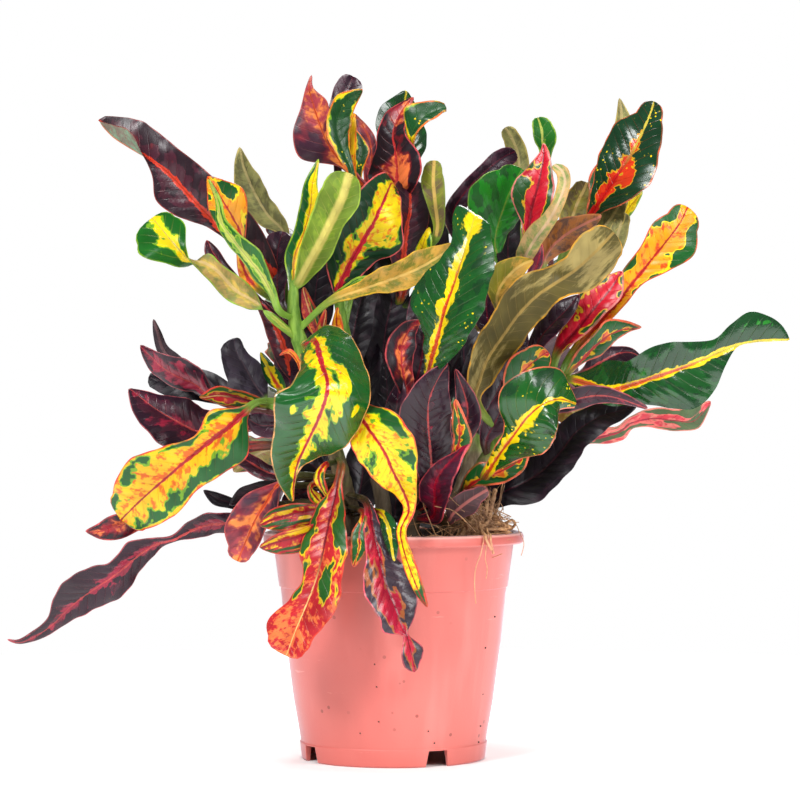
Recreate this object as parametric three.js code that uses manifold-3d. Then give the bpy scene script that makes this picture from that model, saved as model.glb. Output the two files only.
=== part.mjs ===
// A croton in a plain plastic nursery pot: seven leafy stems stand in a filled pot.
// Millimetres, Z up, the middle of the pot's foot at the origin, the front toward -Y.
import * as THREE from "three";
import { mergeVertices } from "three/addons/utils/BufferGeometryUtils.js";
import Module from "manifold-3d";

const wasm = await Module();
wasm.setup();

// Driving sizes
const POT_HEIGHT = 113;
const LIP_RADIUS = 65;
const LIP_BOTTOM = 107.5;
const FOOT_RADIUS = 46;
const FOOT_BAND = 8.4;
const FLOOR_TOP = 10.2;
const SHOULDER_RADIUS = 60;
const WALL = 1.4;
const LEDGE_Z = 85.5;
const LEDGE = 0.5;
const NOTCH_WIDTH = 10;
const NOTCH_HEIGHT = 8;
const NOTCH_ANGLES = [-62, 28, 118, 208];
const GAP = 0.3;
const SOIL_EDGE_Z = 105;
const SOIL_MIDDLE_Z = 113;
const HOLE_BOTTOM = 76;
const HOLE_HEIGHT = 60;
const POT_SIDES = 32;
const SOIL_SIDES = 20;
const SOIL_RINGS = [0.88, 0.6, 0.3];
const SOIL_LUMPS = [0.7, 0.6];
const STEM_SIDES = 6;
const STRAND_SIDES = 4;
const BLADE = 0.8;
const PETIOLE = 1.9;
const PETIOLE_START = 1.6;
const FOLD = 0.16;
const NARROW = 16;
const LONG_RUN = 28;
const WAVE = 1.1;
const WAVE_LENGTH = 24;

// Leaf stations are laid out as seen from a point straight in front of the plant, so a leaf
// can be moved nearer or further without changing the outline it shows from there.
const EYE_X = 3.25;
const EYE_Z = 178.6;
const EYE_DISTANCE = 1500;

// The stems lean out and the leaves spread to the front and back above this height.
const SPREAD_FROM_Z = 112;
const SPREAD_FULL_Z = 190;
const SPREAD = 1.9;
const ROLL = 0.8;

// Stems: x, y, z, radius up each axis; the first two points stand in the soil.
const STEMS = {
  front_left: [
    [[-20, -14, 76.3, 4.6], [-20, -14, 116, 4.6], [-24, -16, 135, 4.4], [-29, -18, 155, 4.2],
      [-37, -20, 182, 4.1], [-45, -22, 205, 4], [-48.5, -23, 222, 3.2], [-48, -23, 237, 2.2]],
    [[-29, -18, 155, 3.2], [-43, -14, 167, 2.9], [-56, -11, 174, 2.5], [-65, -10, 178, 1.8]],
  ],
  back_left: [
    [[-26, 14, 76.3, 4.2], [-26, 14, 116, 4.2], [-34, 15, 150, 4], [-44, 16, 185, 3.8],
      [-52, 15, 212, 3.3], [-56, 13, 236, 2.6], [-56, 12, 252, 1.8]],
  ],
  middle_left: [
    [[-4, -2, 76.3, 4], [-4, -2, 116, 4], [-10, -1, 150, 3.8], [-18, 0, 185, 3.5],
      [-25, -2, 215, 3], [-28, -4, 233, 2.2]],
  ],
  middle_back: [
    [[6, 18, 76.3, 4.2], [6, 18, 116, 4.2], [5, 17, 160, 4], [2, 15, 210, 3.4],
      [2, 12, 250, 2.6], [2, 8, 274, 1.8]],
  ],
  right_back: [
    [[30, 12, 76.3, 4.2], [30, 12, 116, 4.2], [40, 12, 150, 4], [52, 11, 190, 3.6],
      [60, 9, 225, 3], [66, 6, 252, 2]],
    [[55, 10.5, 203, 2.8], [70, 9, 228, 2.5], [84, 7, 244, 2.2], [94, 5, 258, 1.7]],
  ],
  right_front: [
    [[28, -14, 76.3, 4.2], [28, -14, 116, 4.2], [37, -14, 135, 4], [53, -15, 160, 3.6],
      [70, -15, 180, 3], [84, -15, 191, 2.2]],
  ],
  middle_front: [
    [[9, -26, 76.3, 4], [9, -26, 116, 4], [13, -26, 140, 3.8], [16, -27, 165, 3.4],
      [18, -29, 190, 2.2]],
  ],
};

// Leaves: name, height on the stem, side shown (1 upper, -1 under), tip (r round, p pointed),
// then stations of x, z, depth, width to the left, width to the right, and how far each
// edge goes back. A width below zero is a blade turned over.
const LEAVES = {
  front_left: [
    ["a01", 204, 1, "p", [-43, 206, -32, 3, 3], [-39, 208, -42, 13, 9, 4, 5],
      [-36, 197, -52, 20, 12, 5, 6], [-33, 185, -57, 21, 19, 6, 7], [-37, 171, -59, 21, 24, 5, 5],
      [-43, 158, -60, 14, 18, 3, 3], [-48, 147, -60, 3, 14, 0, 2], [-50, 137, -60, 1, 8, 0, 1],
      [-50.5, 128, -60, 0.6, 1.5]],
    ["a02", 207, 1, "r", [-62, 221, -27, 1.7, 1.7], [-70, 228, -29, -3.5, -2.5],
      [-79, 233.5, -31, -6.5, -3.5, -2, 2], [-88, 243, -34, -4, -5, -2, 2],
      [-95, 247.3, -36, -5, -5, -1, 1], [-101.5, 248.6, -37, 3.5, 0.8, 6, -4],
      [-107, 253.5, -38, 9.5, 4.5, 3, -2], [-112, 259, -39, 15, 10.5], [-116.5, 264.5, -38, 13.5, 9],
      [-121, 269.5, -37, 1, 1]],
    ["a03", 218, 1, "p", [-57, 223, -27, 1.7, 1.7], [-61, 233, -29, 2.5, 2.5], [-66, 241.5, -31, 4.5, 4],
      [-73, 250, -32, 3.5, 7], [-80, 259, -33, 3.5, 4], [-86, 268, -33, 3, 2.5],
      [-87.5, 278, -33, 1.6, 1.6], [-92.5, 289, -32, 0.5, 0.5]],
    ["a04", 230, 1, "p", [-50, 240, -20, 3, 3], [-49.5, 250, -19, 5, 5], [-45, 262, -19, 5, 5],
      [-41.5, 275, -20, 5.5, 5], [-40.5, 287, -21, 4, 2.5], [-37.5, 299, -21, 0.5, 0.5]],
    ["a05", 233, -1, "r", [-47, 238, -25, 3, 3], [-42, 247, -28, 6.5, 6], [-36, 258, -31, 9.5, 7.5],
      [-30, 270, -33, 10.5, 6.5], [-25, 281, -33, 11.5, 8.5], [-22, 292, -32, 1, 1]],
    ["a06", 212, -1, "p", [-37, 224, -28, 1.7, 1.7], [-29, 229, -31, 2.5, 2], [-15, 234, -34, 5, 3.5],
      [-2, 238.5, -37, 7.5, 6], [12, 244, -39, 8.5, 8], [24, 251, -38, 6, 5], [33, 257, -35, 0.8, 0.8]],
    ["a07", 213, 1, "p", [-33, 227, -25, 1.5, 1.5], [-25, 232.5, -26, 2.5, 3], [-17, 237, -27, 3, 2.5],
      [-9, 240.5, -27, 0.6, 0.6]],
    ["a08", 176, 1, "r", [-58, 178, -24, 1.7, 1.7], [-68, 177.5, -29, 1.7, 1.7], [-75, 172, -32, 3.5, 4],
      [-84, 164, -35, 17, 12, 2, 2], [-95, 155.5, -37, 17, 7], [-107, 145.5, -38, 15, 12.5],
      [-118, 136, -39, 17, 18.5], [-127, 128, -38, 15.5, 16], [-132, 123, -36, 12, 12, 3, 3],
      [-136, 119, -33, 6, 8]],
    ["a09", 154, 1, "p", [-60, 156, -20, 2, 2], [-86, 152, -22, 4, 4], [-106, 140, -25, 5, 5],
      [-122, 125, -27, 6, 7], [-132, 118, -28, 6.5, 6], [-140, 114.5, -28, 6, 6.5],
      [-147, 113, -28, 4, 4], [-154, 113, -28, 0.5, 0.5]],
    ["a10", 165, 1, "p", [-70, 165, -14, 2, 2], [-84, 163, -16, 6, 6], [-97, 162.5, -18, 10, 12],
      [-108, 167.5, -20, 13, 12.5], [-119, 174, -21, 10.5, 8.5], [-127, 180, -21, 6, 4],
      [-132.5, 184, -20, 0.6, 0.6]],
    ["a11", 172, 1, "p", [-74, 174, -9, 1.7, 1.7], [-90, 179.5, -11, 2, 3], [-99, 186.5, -12, 4, 8],
      [-108, 190.5, -13, 6, 9], [-116, 195.5, -13, 6, 7], [-122, 201.5, -13, 4, 3],
      [-126.5, 206, -12, 0.6, 0.6]],
    ["a12", 173, -1, "p", [-80, 176, -4, 2, 2], [-98, 187, -2, 5, 5], [-109, 196, -1, 5, 5],
      [-115.5, 204, 0, 3, 3], [-118, 212, 0, 2.2, 2], [-120, 219, 0, 0.5, 0.5]],
    ["a13", 174, 1, "r", [-72, 175, -2, 2, 2], [-85, 181, 3, 5, 7], [-97, 185, 5, 7, 9],
      [-110, 187, 6, 7, 7], [-118, 188.5, 6, 5, 4], [-122.5, 190, 6, 1, 1]],
    ["a14", 176, 1, "p", [-70, 178, -15, 3, 3], [-79, 180, -17, 5, 4], [-88, 181, -18, 4, 4.5],
      [-97, 180, -18, 0.6, 0.6]],
    ["a15", 177, 1, "r", [-65, 180, -6, 2.5, 2.5], [-70, 187, -4, 10, 8], [-75, 196, -3, 10, 6],
      [-79, 203.5, -3, 7, 4.5], [-80, 209.5, -3, 1, 1]],
    ["a16", 175, 1, "p", [-56, 183, -8, 2, 2], [-59, 188, -8, 4, 4], [-62.5, 195, -7, 3.5, 3],
      [-66.5, 202.5, -6, 0.5, 0.5]],
    ["a17", 140, 1, "r", [-48, 141, -32, 1.7, 1.7], [-58, 136, -38, 3, 2], [-64, 127, -42, 7, 10],
      [-69, 119, -44, 7, 12], [-73, 110, -45, 7, 12.5], [-76, 103, -45, 5.5, 7], [-78, 98, -44, 1, 1]],
    ["a18", 130, 1, "p", [-60, 126, -22, 1.7, 1.7], [-74, 125, -22, 2, 2], [-82, 127, -23, 2.5, 3],
      [-89, 129.5, -24, 3, 3], [-95, 133.5, -24, 0.5, 0.5]],
    ["a19", 136, 1, "p", [-54, 136, -24, 2, 2], [-66, 134, -27, 4, 4], [-75, 131, -28, 4, 4],
      [-82, 126, -28, 0.6, 0.6]],
    ["a20", 143, 1, "p", [-48, 140, -20, 2, 2], [-62, 142, -17, 4, 4], [-76, 149.5, -15, 4, 3.5],
      [-90, 154, -13, 1, 1]],
    ["a21", 128, 1, "p", [-30, 126, -36, 2, 2], [-38, 123.5, -44, 6, 3.5], [-50, 121.5, -51, 7.5, 5.5],
      [-60, 119, -55, 6, 5], [-67, 116, -56, 1, 1]],
    ["a22", 124, 1, "p", [-30, 120, -40, 2, 2], [-38, 114.5, -56, 4, 3], [-49, 110, -61, 7.5, 4.5],
      [-59, 107.5, -62, 6.5, 3.5], [-67, 105, -61, 0.8, 0.8]],
    ["a23", 150, 1, "r", [-26, 146, -36, 2, 2], [-28, 135, -46, 2.5, 3], [-31, 122, -58, 7.5, 8],
      [-33.5, 110, -66, 10.5, 11], [-36, 98, -70, 12, 11], [-39.5, 86, -71, 13.5, 7],
      [-44, 74.5, -72, 13.5, 9], [-48.5, 64, -72, 9.5, 15], [-51.5, 56, -72, 8, 12],
      [-53.5, 50.5, -71, 1, 1]],
    ["a24", 132, 1, "p", [-14, 128, -50, 2, 2], [-11, 116, -66, 4, 4], [-8, 104, -70, 6, 6],
      [-6, 94, -71, 10, 9.5], [-3, 84, -72, 14, 11], [1, 74, -72, 11.5, 9.5], [4, 66, -72, 6, 9],
      [6, 61, -72, 1.5, 1.5], [8.5, 53, -72, 6.5, 5], [10, 46, -72, 3, 4.5], [10.5, 42.5, -71, 1, 1]],
    ["a25", 126, 1, "p", [-15, 122, -58, 1.7, 1.7], [-17, 112, -69, 3, 4], [-17, 105, -71, 4, 4.5],
      [-19, 98, -71, 2, 2.5], [-20, 95, -71, 0.6, 0.6]],
    ["a26", 122, 1, "p", [-8, 123, -50, 1.7, 1.7], [-3, 117, -67, 4, 4], [-1, 108, -70, 3.5, 3.5],
      [0.5, 98, -71, 0.8, 0.8]],
    ["a27", 128, 1, "p", [-60, 122, -28, 2.2, 2.2], [-82, 117.5, -31, 5, 4.5],
      [-92, 116.5, -31, 5.5, 6.3], [-101, 113.5, -31, 4.2, 4.3], [-110, 109.3, -31, 1.8, 1.8],
      [-118, 107, -30, 3, 3.4], [-127, 101.5, -30, 5.7, 7.5], [-137, 93, -29, 9, 7],
      [-147, 86, -28, 10.7, 10], [-156, 79.8, -27, 8.3, 12], [-163, 74, -26, 6, 8.5],
      [-170, 67, -25, 4, 4], [-178, 61.5, -24, 2.7, 2.7], [-187, 57.8, -23, 1.2, 1.2],
      [-193, 58.8, -22, 0.5, 0.5]],
    ["a30", 170, 1, "p", [-50, 168, -22, 3, 3], [-60, 166, -26, 6, 5], [-68, 166.5, -28, 5, 6],
      [-74, 171, -28, 1, 1]],
    ["a33", 140, 1, "p", [-34, 141, -14, 4, 4], [-42, 147, -11, 7, 7], [-52, 153, -9, 6, 6],
      [-60, 158, -8, 1, 1]],
    ["a28", 148, 1, "p", [-34, 146, -34, 1.5, 1.5], [-37, 139, -38, 3, 3], [-32, 129, -40, 0.6, 0.6]],
    ["a29", 140, 1, "p", [-41, 136, -36, 1.5, 1.5], [-39, 130, -38, 3, 3], [-34, 125, -38, 0.6, 0.6]],
  ],
  back_left: [
    ["b01", 236, 1, "p", [-59, 240, 4, 3, 3], [-66, 247, 0, 5, 8], [-76, 256.5, -3, 3.5, 13],
      [-88, 266.5, -6, 4, 16], [-101, 279.5, -8, 12, 15], [-109, 288.5, -8, 14, 13.5],
      [-116, 295, -8, 7, 12.5], [-124, 300, -8, 0.5, 14, -3, 2], [-133, 305.5, -8, -6, 14, -6, 2],
      [-141, 311, -7, -5, 12, -5, 2], [-147.5, 318.5, -6, 0.6, 3]],
    ["b02", 226, 1, "p", [-66, 233, -3, 2, 2], [-73, 241, -6, 4, 4], [-76, 251, -9, 2.5, 2.5],
      [-76, 261, -12, 3.5, 2.5], [-80, 269.5, -14, 8.5, 8], [-85, 278, -15, 9, 11.5],
      [-89, 285, -15, 5, 6], [-93, 290.5, -15, 0.5, 0.5]],
    ["b08", 216, 1, "p", [-60, 221, -9, 2, 2], [-70, 230, -15, 2.5, 2.5], [-78, 236.5, -18, 3, 3],
      [-86, 246, -20, 3, 3], [-91, 253, -20, 3.5, 3], [-93.5, 258.5, -20, 0.6, 0.6]],
    ["b03", 248, -1, "p", [-55, 262, 13, 2.5, 3], [-63, 271, 12, 7, 6], [-70, 283, 11, 8.5, 6],
      [-75, 295, 11, 5, 4], [-77, 305, 11, 0.5, 0.5]],
    ["b04", 224, 1, "r", [-57, 228, 5, 3, 3], [-58, 239, 3, 5, 5], [-58, 250, 2, 6.5, 6],
      [-57, 257, 3, 7, 6], [-55, 262.5, 5, 2, 2]],
    ["b05", 186, 1, "p", [-49, 190, 9, 3, 3], [-53, 200, 7, 6, 9], [-57, 211, 6, 6, 10],
      [-63, 221, 5, 3.5, 7], [-70, 230, 5, 0.6, 0.6]],
    ["b06", 208, 1, "p", [-43, 214, 9, 6, 8], [-40, 226, 8, 9, 10], [-38, 240, 8, 8, 8],
      [-35, 252, 8, 1, 1]],
    ["b07", 122, 1, "p", [-20, 125, 16, 7, 7], [-16, 136, 17, 9, 9], [-15, 152, 18, 8, 8],
      [-16, 170, 18, 1, 1]],
  ],
  middle_left: [
    ["c01", 229, 1, "r", [-28, 234, -10, 3, 3], [-24, 243, -13, 11, 7], [-18, 254, -16, 17, 12],
      [-12, 264, -18, 14.5, 18], [-7, 274, -18, 13, 13], [-3, 283, -14, 11, 6, 2, 2], [-1, 287, -8, 6, 5],
      [1, 284, -3, 1, 1]],
    ["c02", 226, 1, "p", [-20, 256, -2, 2, 2], [-12, 280, 0, 2, 2], [-18, 289, -2, 2, 2],
      [-26, 297.5, -3, 3, 2], [-33, 307, -4, 15.5, 1.5], [-37, 317, -4, 14, 5], [-40, 326, -4, 7, 7],
      [-42, 334.5, -4, 2, 2], [-41, 341, -4, 0.5, 0.5]],
    ["c03", 220, 1, "r", [-28, 300, 5, 2, 2], [-29, 318, 5, 4, 3], [-28, 326, 5, 4, 6],
      [-23, 334, 5, 6.5, 7.5], [-20, 340.5, 5, 1, 1]],
    ["c04", 224, 1, "p", [-19, 270, -4, 1.7, 1.7], [-21, 291, -7, 2, 2], [-24, 300, -8, 3.5, 3],
      [-27.5, 310, -9, 5, 5.5], [-28, 319, -9, 5, 6.5], [-24, 327, -9, 5.5, 5.5],
      [-15.5, 334, -8, 0.6, 0.6]],
    ["c05", 222, 1, "p", [-18, 268, 0, 1.7, 1.7], [-20, 290, -2, 1.7, 1.7], [-21, 302, -4, 2.5, 2],
      [-21, 312, -4, 2.5, 2.5], [-19.5, 322, -4, 0.6, 0.6]],
    ["c06", 218, 1, "p", [-17, 270, 4, 1.7, 1.7], [-18, 289, 2, 2, 2], [-17, 297, 1, 3, 3],
      [-16, 304, 1, 3.5, 4], [-19, 313.5, 1, 0.6, 0.6]],
    ["c07", 214, 1, "p", [-14, 270, 8, 2, 2], [-12, 292, 8, 3, 3], [-11, 302, 8, 5.5, 3],
      [-13, 311, 8, 5, 3], [-20, 322, 8, 0.6, 0.6]],
    ["c08", 205, 1, "p", [-33, 206, -6, 2, 2], [-38, 214, -9, 3.5, 3], [-42, 224, -11, 4, 3],
      [-45, 235, -13, 0.8, 0.8]],
    ["c09", 200, 1, "p", [-33, 203, -10, 1.7, 1.7], [-36, 211, -15, 3, 2.5], [-34, 224, -17, 0.6, 0.6]],
    ["c10", 198, 1, "p", [-27, 204, -10, 1.7, 1.7], [-28, 214, -13, 3, 3], [-28, 225, -14, 0.6, 0.6]],
    ["c11", 178, 1, "p", [-20, 184, 3, 3, 3], [-22, 198, 3, 7, 7], [-20, 212, 4, 9, 9],
      [-17, 226, 5, 8, 8], [-12, 242, 6, 6, 6], [-9, 254, 7, 1, 1]],
    ["c12", 184, 1, "p", [-22, 182, -24, 2, 2], [-18, 173, -44, 7, 7, 2, 4], [-12, 164, -52, 15, 11],
      [-5, 154, -58, 16.5, 14], [0, 143, -63, 13, 10], [6, 131, -67, 6, 4.5], [8, 123, -70, 2.5, 3],
      [4, 113, -74, 2.5, 2.5], [6, 102, -76, 3, 2.5], [9, 93, -77, 3.5, 3], [13, 83, -77, 2.5, 2.5],
      [17, 75, -77, 0.6, 0.6]],
  ],
  middle_back: [
    ["d01", 268, 1, "p", [2, 280, 6, 6, 6], [2, 288, 3, 14, 11], [2, 295, 2, 14, 12], [1, 304, 1, 11, 9],
      [0, 312, 1, 8, 6.5], [3, 321, 2, 6, 4], [10, 330, 2, 0.6, 0.6]],
    ["d02", 262, 1, "p", [5, 286, 14, 3, 3], [5, 300, 15, 9, 9], [4, 312, 15, 13, 12.5],
      [5, 323, 15, 11, 8.5], [6, 333.5, 14, 0.8, 0.8]],
    ["d03", 264, 1, "r", [8, 296, 6, 2, 2], [9, 310, -2, 2, 2], [13, 318.5, -4, 10, 3.5],
      [19, 322.5, -4, 6.5, 4], [24, 324.5, -4, 3.5, 2.5], [26.5, 324.5, -4, 0.8, 0.8]],
    ["d04", 246, -1, "r", [18, 256, 2, 2, 2], [22, 264, 0, 2.2, 3], [21, 276, -1, 4, 5],
      [20, 286, -1, 6, 5.5], [20, 292, -1, 5.5, 4.5], [20.5, 298.5, -1, 0.8, 0.8]],
    ["d05", 226, 1, "r", [5, 236, 6, 4, 4], [5, 250, 3, 7, 7], [6, 263, 1, 9, 9], [8, 273, 1, 10, 10.5],
      [8, 283, 3, 8, 7], [8, 289, 5, 2, 2]],
    ["d06", 238, 1, "p", [11, 246, 2, 2, 2], [15, 256, -2, 3, 4], [18, 265, -2, 0.6, 0.6]],
    ["d07", 182, 1, "p", [-1, 188, 12, 4, 4], [-5, 200, 11, 8, 8], [-4, 214, 11, 9, 9],
      [-1, 228, 12, 9, 9], [0, 242, 13, 9, 8], [1, 256, 13, 4, 4], [3, 266, 13, 1, 1]],
    ["d09", 150, 1, "p", [-4, 158, 12, 3, 3], [-10, 170, 10, 8, 8], [-13, 186, 10, 9, 9],
      [-12, 202, 10, 6, 6], [-10, 212, 11, 1, 1]],
    ["d10", 222, 1, "p", [14, 232, 11, 4, 4], [20, 246, 10, 7, 7], [21, 262, 10, 6, 6],
      [20, 276, 10, 1, 1]],
    ["d19", 120, 1, "p", [0, 124, 22, 6, 6], [-1, 142, 24, 8, 8], [0, 156, 25, 7, 7], [2, 168, 25, 1, 1]],
    ["d08", 176, 1, "p", [9, 182, 8, 3, 3], [13, 194, 3, 8, 7], [15, 208, 2, 9, 8], [15, 224, 3, 8, 8],
      [14, 242, 4, 1, 1]],
  ],
  right_back: [
    ["e01", 232, 1, "r", [44, 246, 8, 2, 2], [32, 262, 6, 3.5, 4], [30, 273, 6, 4.5, 5],
      [37, 284, 6, 4, 6], [46, 293, 7, 4, 7], [54, 299.5, 8, 4.5, 6], [61, 303, 8, 1, 1]],
    ["e02", 244, -1, "r", [62, 266, 14, 2, 2], [64, 284, 17, 3, 3], [63, 295, 18, 4, 4.5],
      [62, 303, 18, 5, 4.5], [59, 310, 18, 4, 4], [56, 315, 18, 0.8, 0.8]],
    ["e03", 238, 1, "r", [53, 248, 3, 2, 2], [50.5, 257, -1, 3, 5], [52, 266, -4, 10, 8],
      [55, 275, -5, 19, 9], [58, 283, -5, 16, 7], [61, 289, -4, 9, 5], [64, 294, -2, 1, 1]],
    ["e04", 246, 1, "p", [66, 258, -6, 2, 2], [68, 266, -10, 4, 4], [69.5, 275, -12, 10, 9],
      [72, 284, -13, 12, 8], [74, 293, -13, 8, 5.5], [75.5, 302, -12, 2.5, 2.5],
      [75, 307, -11, 0.6, 0.6]],
    ["e05", 248, 1, "r", [73, 280, 6, 1.7, 1.7], [75, 301, 3, 2, 4], [74.5, 308, 2, 4, 7],
      [74, 314, 2, 4.5, 6], [72, 320, 2, 1, 1]],
    ["e06", 236, -1, "r", [63, 243, -8, 2, 2], [66, 251, -16, 5, 4], [71, 259.5, -20, 6, 4.5],
      [77.5, 268.5, -22, 4, 3.5], [82.5, 278, -23, 3, 3.5], [85.5, 287, -23, 3.5, 3],
      [84, 293, -22, 3, 3.5], [80, 296, -21, 1, 1]],
    ["e07", 256, 1, "r", [100, 272, -6, 3, 3], [107, 283, -10, 9, 11], [113, 292, -12, 12, 15],
      [119, 301, -13, 15, 13], [124, 311, -13, 14, 10.5], [128, 320, -11, 7, 6],
      [130.5, 327.5, -9, 0.8, 0.8]],
    ["e08", 252, 1, "p", [97, 269, 3, 1.7, 1.7], [100, 280, 3, 3, 5], [102, 290, 3, 4, 4],
      [104.5, 299, 3, 0.6, 0.6]],
    ["e09", 254, -1, "p", [103, 280, 8, 2, 2], [110, 304, 10, 4, 4], [114, 316, 10, 3.5, 6],
      [113, 329.5, 10, 0.5, 0.5]],
    ["e10", 242, -1, "r", [87, 258, 9, 3, 3], [89, 268, 10, 6, 7], [92, 277, 11, 7, 7],
      [95, 283, 11, 6, 5], [97, 287.5, 11, 1, 1]],
    ["e11", 234, -1, "p", [75, 247, -2, 2, 2], [79, 255, -7, 6, 6], [87, 262, -10, 8, 7],
      [95, 266.5, -11, 5, 6], [104, 271, -11, 0.8, 0.8]],
    ["e12", 247, -1, "p", [99, 260, -2, 2, 2], [105, 265, -5, 4, 5], [110, 271, -6, 6, 6],
      [113, 276, -7, 4, 4], [117, 279, -7, 0.8, 0.8]],
    ["e13", 250, 1, "p", [107, 260, 4, 1.7, 1.7], [114, 269, 4, 3, 2.5], [118.5, 276, 4, 3, 3],
      [124.5, 283, 4, 0.6, 0.6]],
    ["e14", 230, 1, "p", [68, 238, -3, 2, 2], [72, 248, -8, 3, 3], [74, 257, -8, 0.6, 0.6]],
    ["e15", 214, -1, "p", [52, 226, -12, 2, 2], [53, 234, -18, 6, 8], [58, 241, -20, 9, 6],
      [64, 246, -20, 5, 4], [70, 248, -19, 0.8, 0.8]],
    ["e16", 164, 1, "p", [44, 162, -2, 3, 3], [47, 172, -6, 6, 5], [52, 184, -7, 6, 6],
      [57, 196, -7, 8, 8], [62, 208, -6, 6, 6], [65, 220, -5, 1, 1]],
    ["e17", 122, 1, "p", [29, 131, 15, 6, 6], [27, 146, 16, 8, 8], [26, 160, 17, 6, 6],
      [27, 172, 17, 1, 1]],
    ["e18", 170, 1, "p", [41, 180, -2, 4, 4], [36, 194, -4, 8, 9], [35, 208, -4, 8, 9],
      [34, 222, -3, 1, 1]],
    ["e19", 234, 1, "p", [58, 244, 4, 4, 4], [57, 256, 3, 6, 6], [59, 268, 3, 5, 5], [62, 278, 3, 1, 1]],
  ],
  right_front: [
    ["f01", 162, -1, "r", [46, 170, -24, 2, 2], [41, 179, -28, 3, 3], [43, 188, -30, 6.5, 6],
      [47, 199, -32, 9, 9], [55, 211, -35, 10.5, 10], [63, 222, -37, 12, 10.5], [72, 231, -38, 13, 9.5],
      [81, 237, -38, 9.5, 8.5, 3, -3], [90, 243, -39, 8, 12], [98, 250, -40, 11, 13.5],
      [105, 257, -40, 9.5, 11], [110, 262.5, -39, 3, 3]],
    ["f02", 189, 1, "r", [87, 198, -14, 2, 2], [94, 207, -15, 3, 3], [103, 217.5, -17, 4, 3.5],
      [113, 229, -18, 7, 4], [121.5, 239.5, -19, 8, 4.5], [130, 250, -20, 8.5, 10.5],
      [138, 260, -20, 11, 15], [143.5, 267.5, -19, 8, 9.5], [147, 275, -18, 1, 1]],
    ["f03", 186, 1, "p", [81, 200, -19, 2, 2], [86, 207, -21, 5, 3], [94, 216, -23, 8, 4.5],
      [102, 226, -24, 11, 6], [109, 234.5, -24, 8, 6], [114.5, 243, -24, 0.8, 0.8]],
    ["f04", 190, 1, "p", [87, 192, -18, 1.7, 1.7], [93, 198, -20, 4, 2], [101, 206, -21, 5, 5.5],
      [109, 212, -22, 7, 5], [117, 214.5, -22, 3.5, 2], [124, 215, -22, 0.5, 0.5]],
    ["f05", 188, 1, "p", [94, 192, -8, 1.7, 1.7], [104, 197.5, -6, 7, 5], [112, 201.5, -6, 4.5, 6],
      [119, 202, -6, 2.5, 5], [125, 198, -6, 0.6, 0.6]],
    ["f06", 190, 1, "p", [89, 189, -20, 2.2, 2.2], [99, 186, -25, 10, 6, 2, 0],
      [109, 183.5, -29, 15, 8, 3, 0], [120, 186.5, -33, 12, 10], [132, 190.5, -36, 14.5, 17],
      [144, 194.5, -38, 14, 21], [154, 198.5, -39, 10, 16.5], [163, 202.5, -40, 7, 7.5],
      [171, 205.5, -40, 11, 1], [180, 207.7, -40, 15, 0.5], [189, 208.5, -40, 11.5, 0.5],
      [195, 208.7, -40, 6.5, 0.5], [198, 209, -40, 0.8, 0.8]],
    ["f07", 172, 1, "p", [74, 172, -32, 2, 2], [83, 176, -36, 5, 4], [93, 179.5, -38, 6, 5.5],
      [104, 181, -39, 4.5, 4], [115, 179, -40, 3, 2.5], [127, 174.5, -40, 0.8, 0.8]],
    ["f08", 128, 1, "p", [44, 126, -10, 2, 2], [54, 132, -11, 5, 6], [65, 137, -12, 10, 8.5],
      [75, 143.5, -14, 12, 8.5], [84, 153, -16, 12, 8.5], [92, 163, -17, 8, 8.5], [103, 170, -18, 7, 6.5],
      [113, 173, -18, 4.5, 4.5], [121.5, 175.5, -18, 0.6, 0.6]],
    ["f09", 146, 1, "p", [60, 146, -8, 2, 2], [80, 153, -4, 3, 3], [95, 158, -5, 2.2, 2],
      [104, 160.5, -6, 3.5, 4], [113, 163, -7, 3, 4.5], [119, 167.5, -8, 3, 3.5],
      [130, 169.5, -9, 5, 4.5], [141, 168.5, -11, 6, 5.5], [150.5, 168.5, -12, 7, 4.5],
      [158.5, 178, -13, 0.8, 0.8]],
    ["f10", 140, 1, "p", [43, 135, -30, 2, 2], [47, 142, -38, 3, 2.5], [53.5, 152, -44, 4, 8],
      [61, 162, -48, 7, 17], [67, 170, -50, 19, 17], [75, 176.5, -50, 19, 14],
      [83, 179, -47, 15, 6, 2, 2], [91, 176.5, -42, 2, 2]],
    ["f11", 132, 1, "p", [34, 130, -24, 2, 2], [39, 136.5, -33, 5, 2], [46, 140, -36, 8, 4.5],
      [54, 143, -37, 5, 6], [62, 147.5, -37, 3, 5], [68, 153, -36, 0.8, 0.8]],
    ["f12", 168, 1, "r", [58, 175, -24, 3, 3], [60, 184, -28, 6, 6], [64, 192, -30, 8.5, 9],
      [70, 198, -30, 8, 8], [77, 203, -29, 3, 3]],
    ["f13", 180, 1, "p", [70, 200, -21, 3, 3], [74, 210, -24, 5, 4], [80, 217, -25, 8, 5],
      [87, 224, -26, 6, 4], [93, 231, -26, 0.8, 0.8]],
  ],
  middle_front: [
    ["g01", 188, 1, "r", [17.5, 191, -36, 2.5, 2.5], [20, 201, -42, 4.5, 9], [23, 212, -47, 9.5, 14],
      [26, 224, -49, 17.5, 17], [30, 235, -50, 17.5, 17], [33.5, 246, -50, 10, 16.5],
      [37, 257, -48, 8.5, 13], [40, 266, -45, 9.5, 9, 2, 2], [42, 271, -41, 7, 6], [43, 271, -34, 1, 1]],
    ["g02", 124, 1, "p", [18, 128, -33, 5, 4], [19, 141, -36, 7, 8], [18, 156, -38, 11, 11],
      [17, 170, -40, 14, 12], [18, 180, -41, 11, 11], [22.5, 190, -41, 6, 6], [27, 197, -40, 0.8, 0.8]],
    ["g03", 142, 1, "p", [28, 148, -33, 2, 2], [33, 160, -34, 4, 6], [37, 170, -35, 5, 7],
      [36, 180, -36, 5, 5], [31, 194, -37, 0.8, 0.8]],
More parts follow.
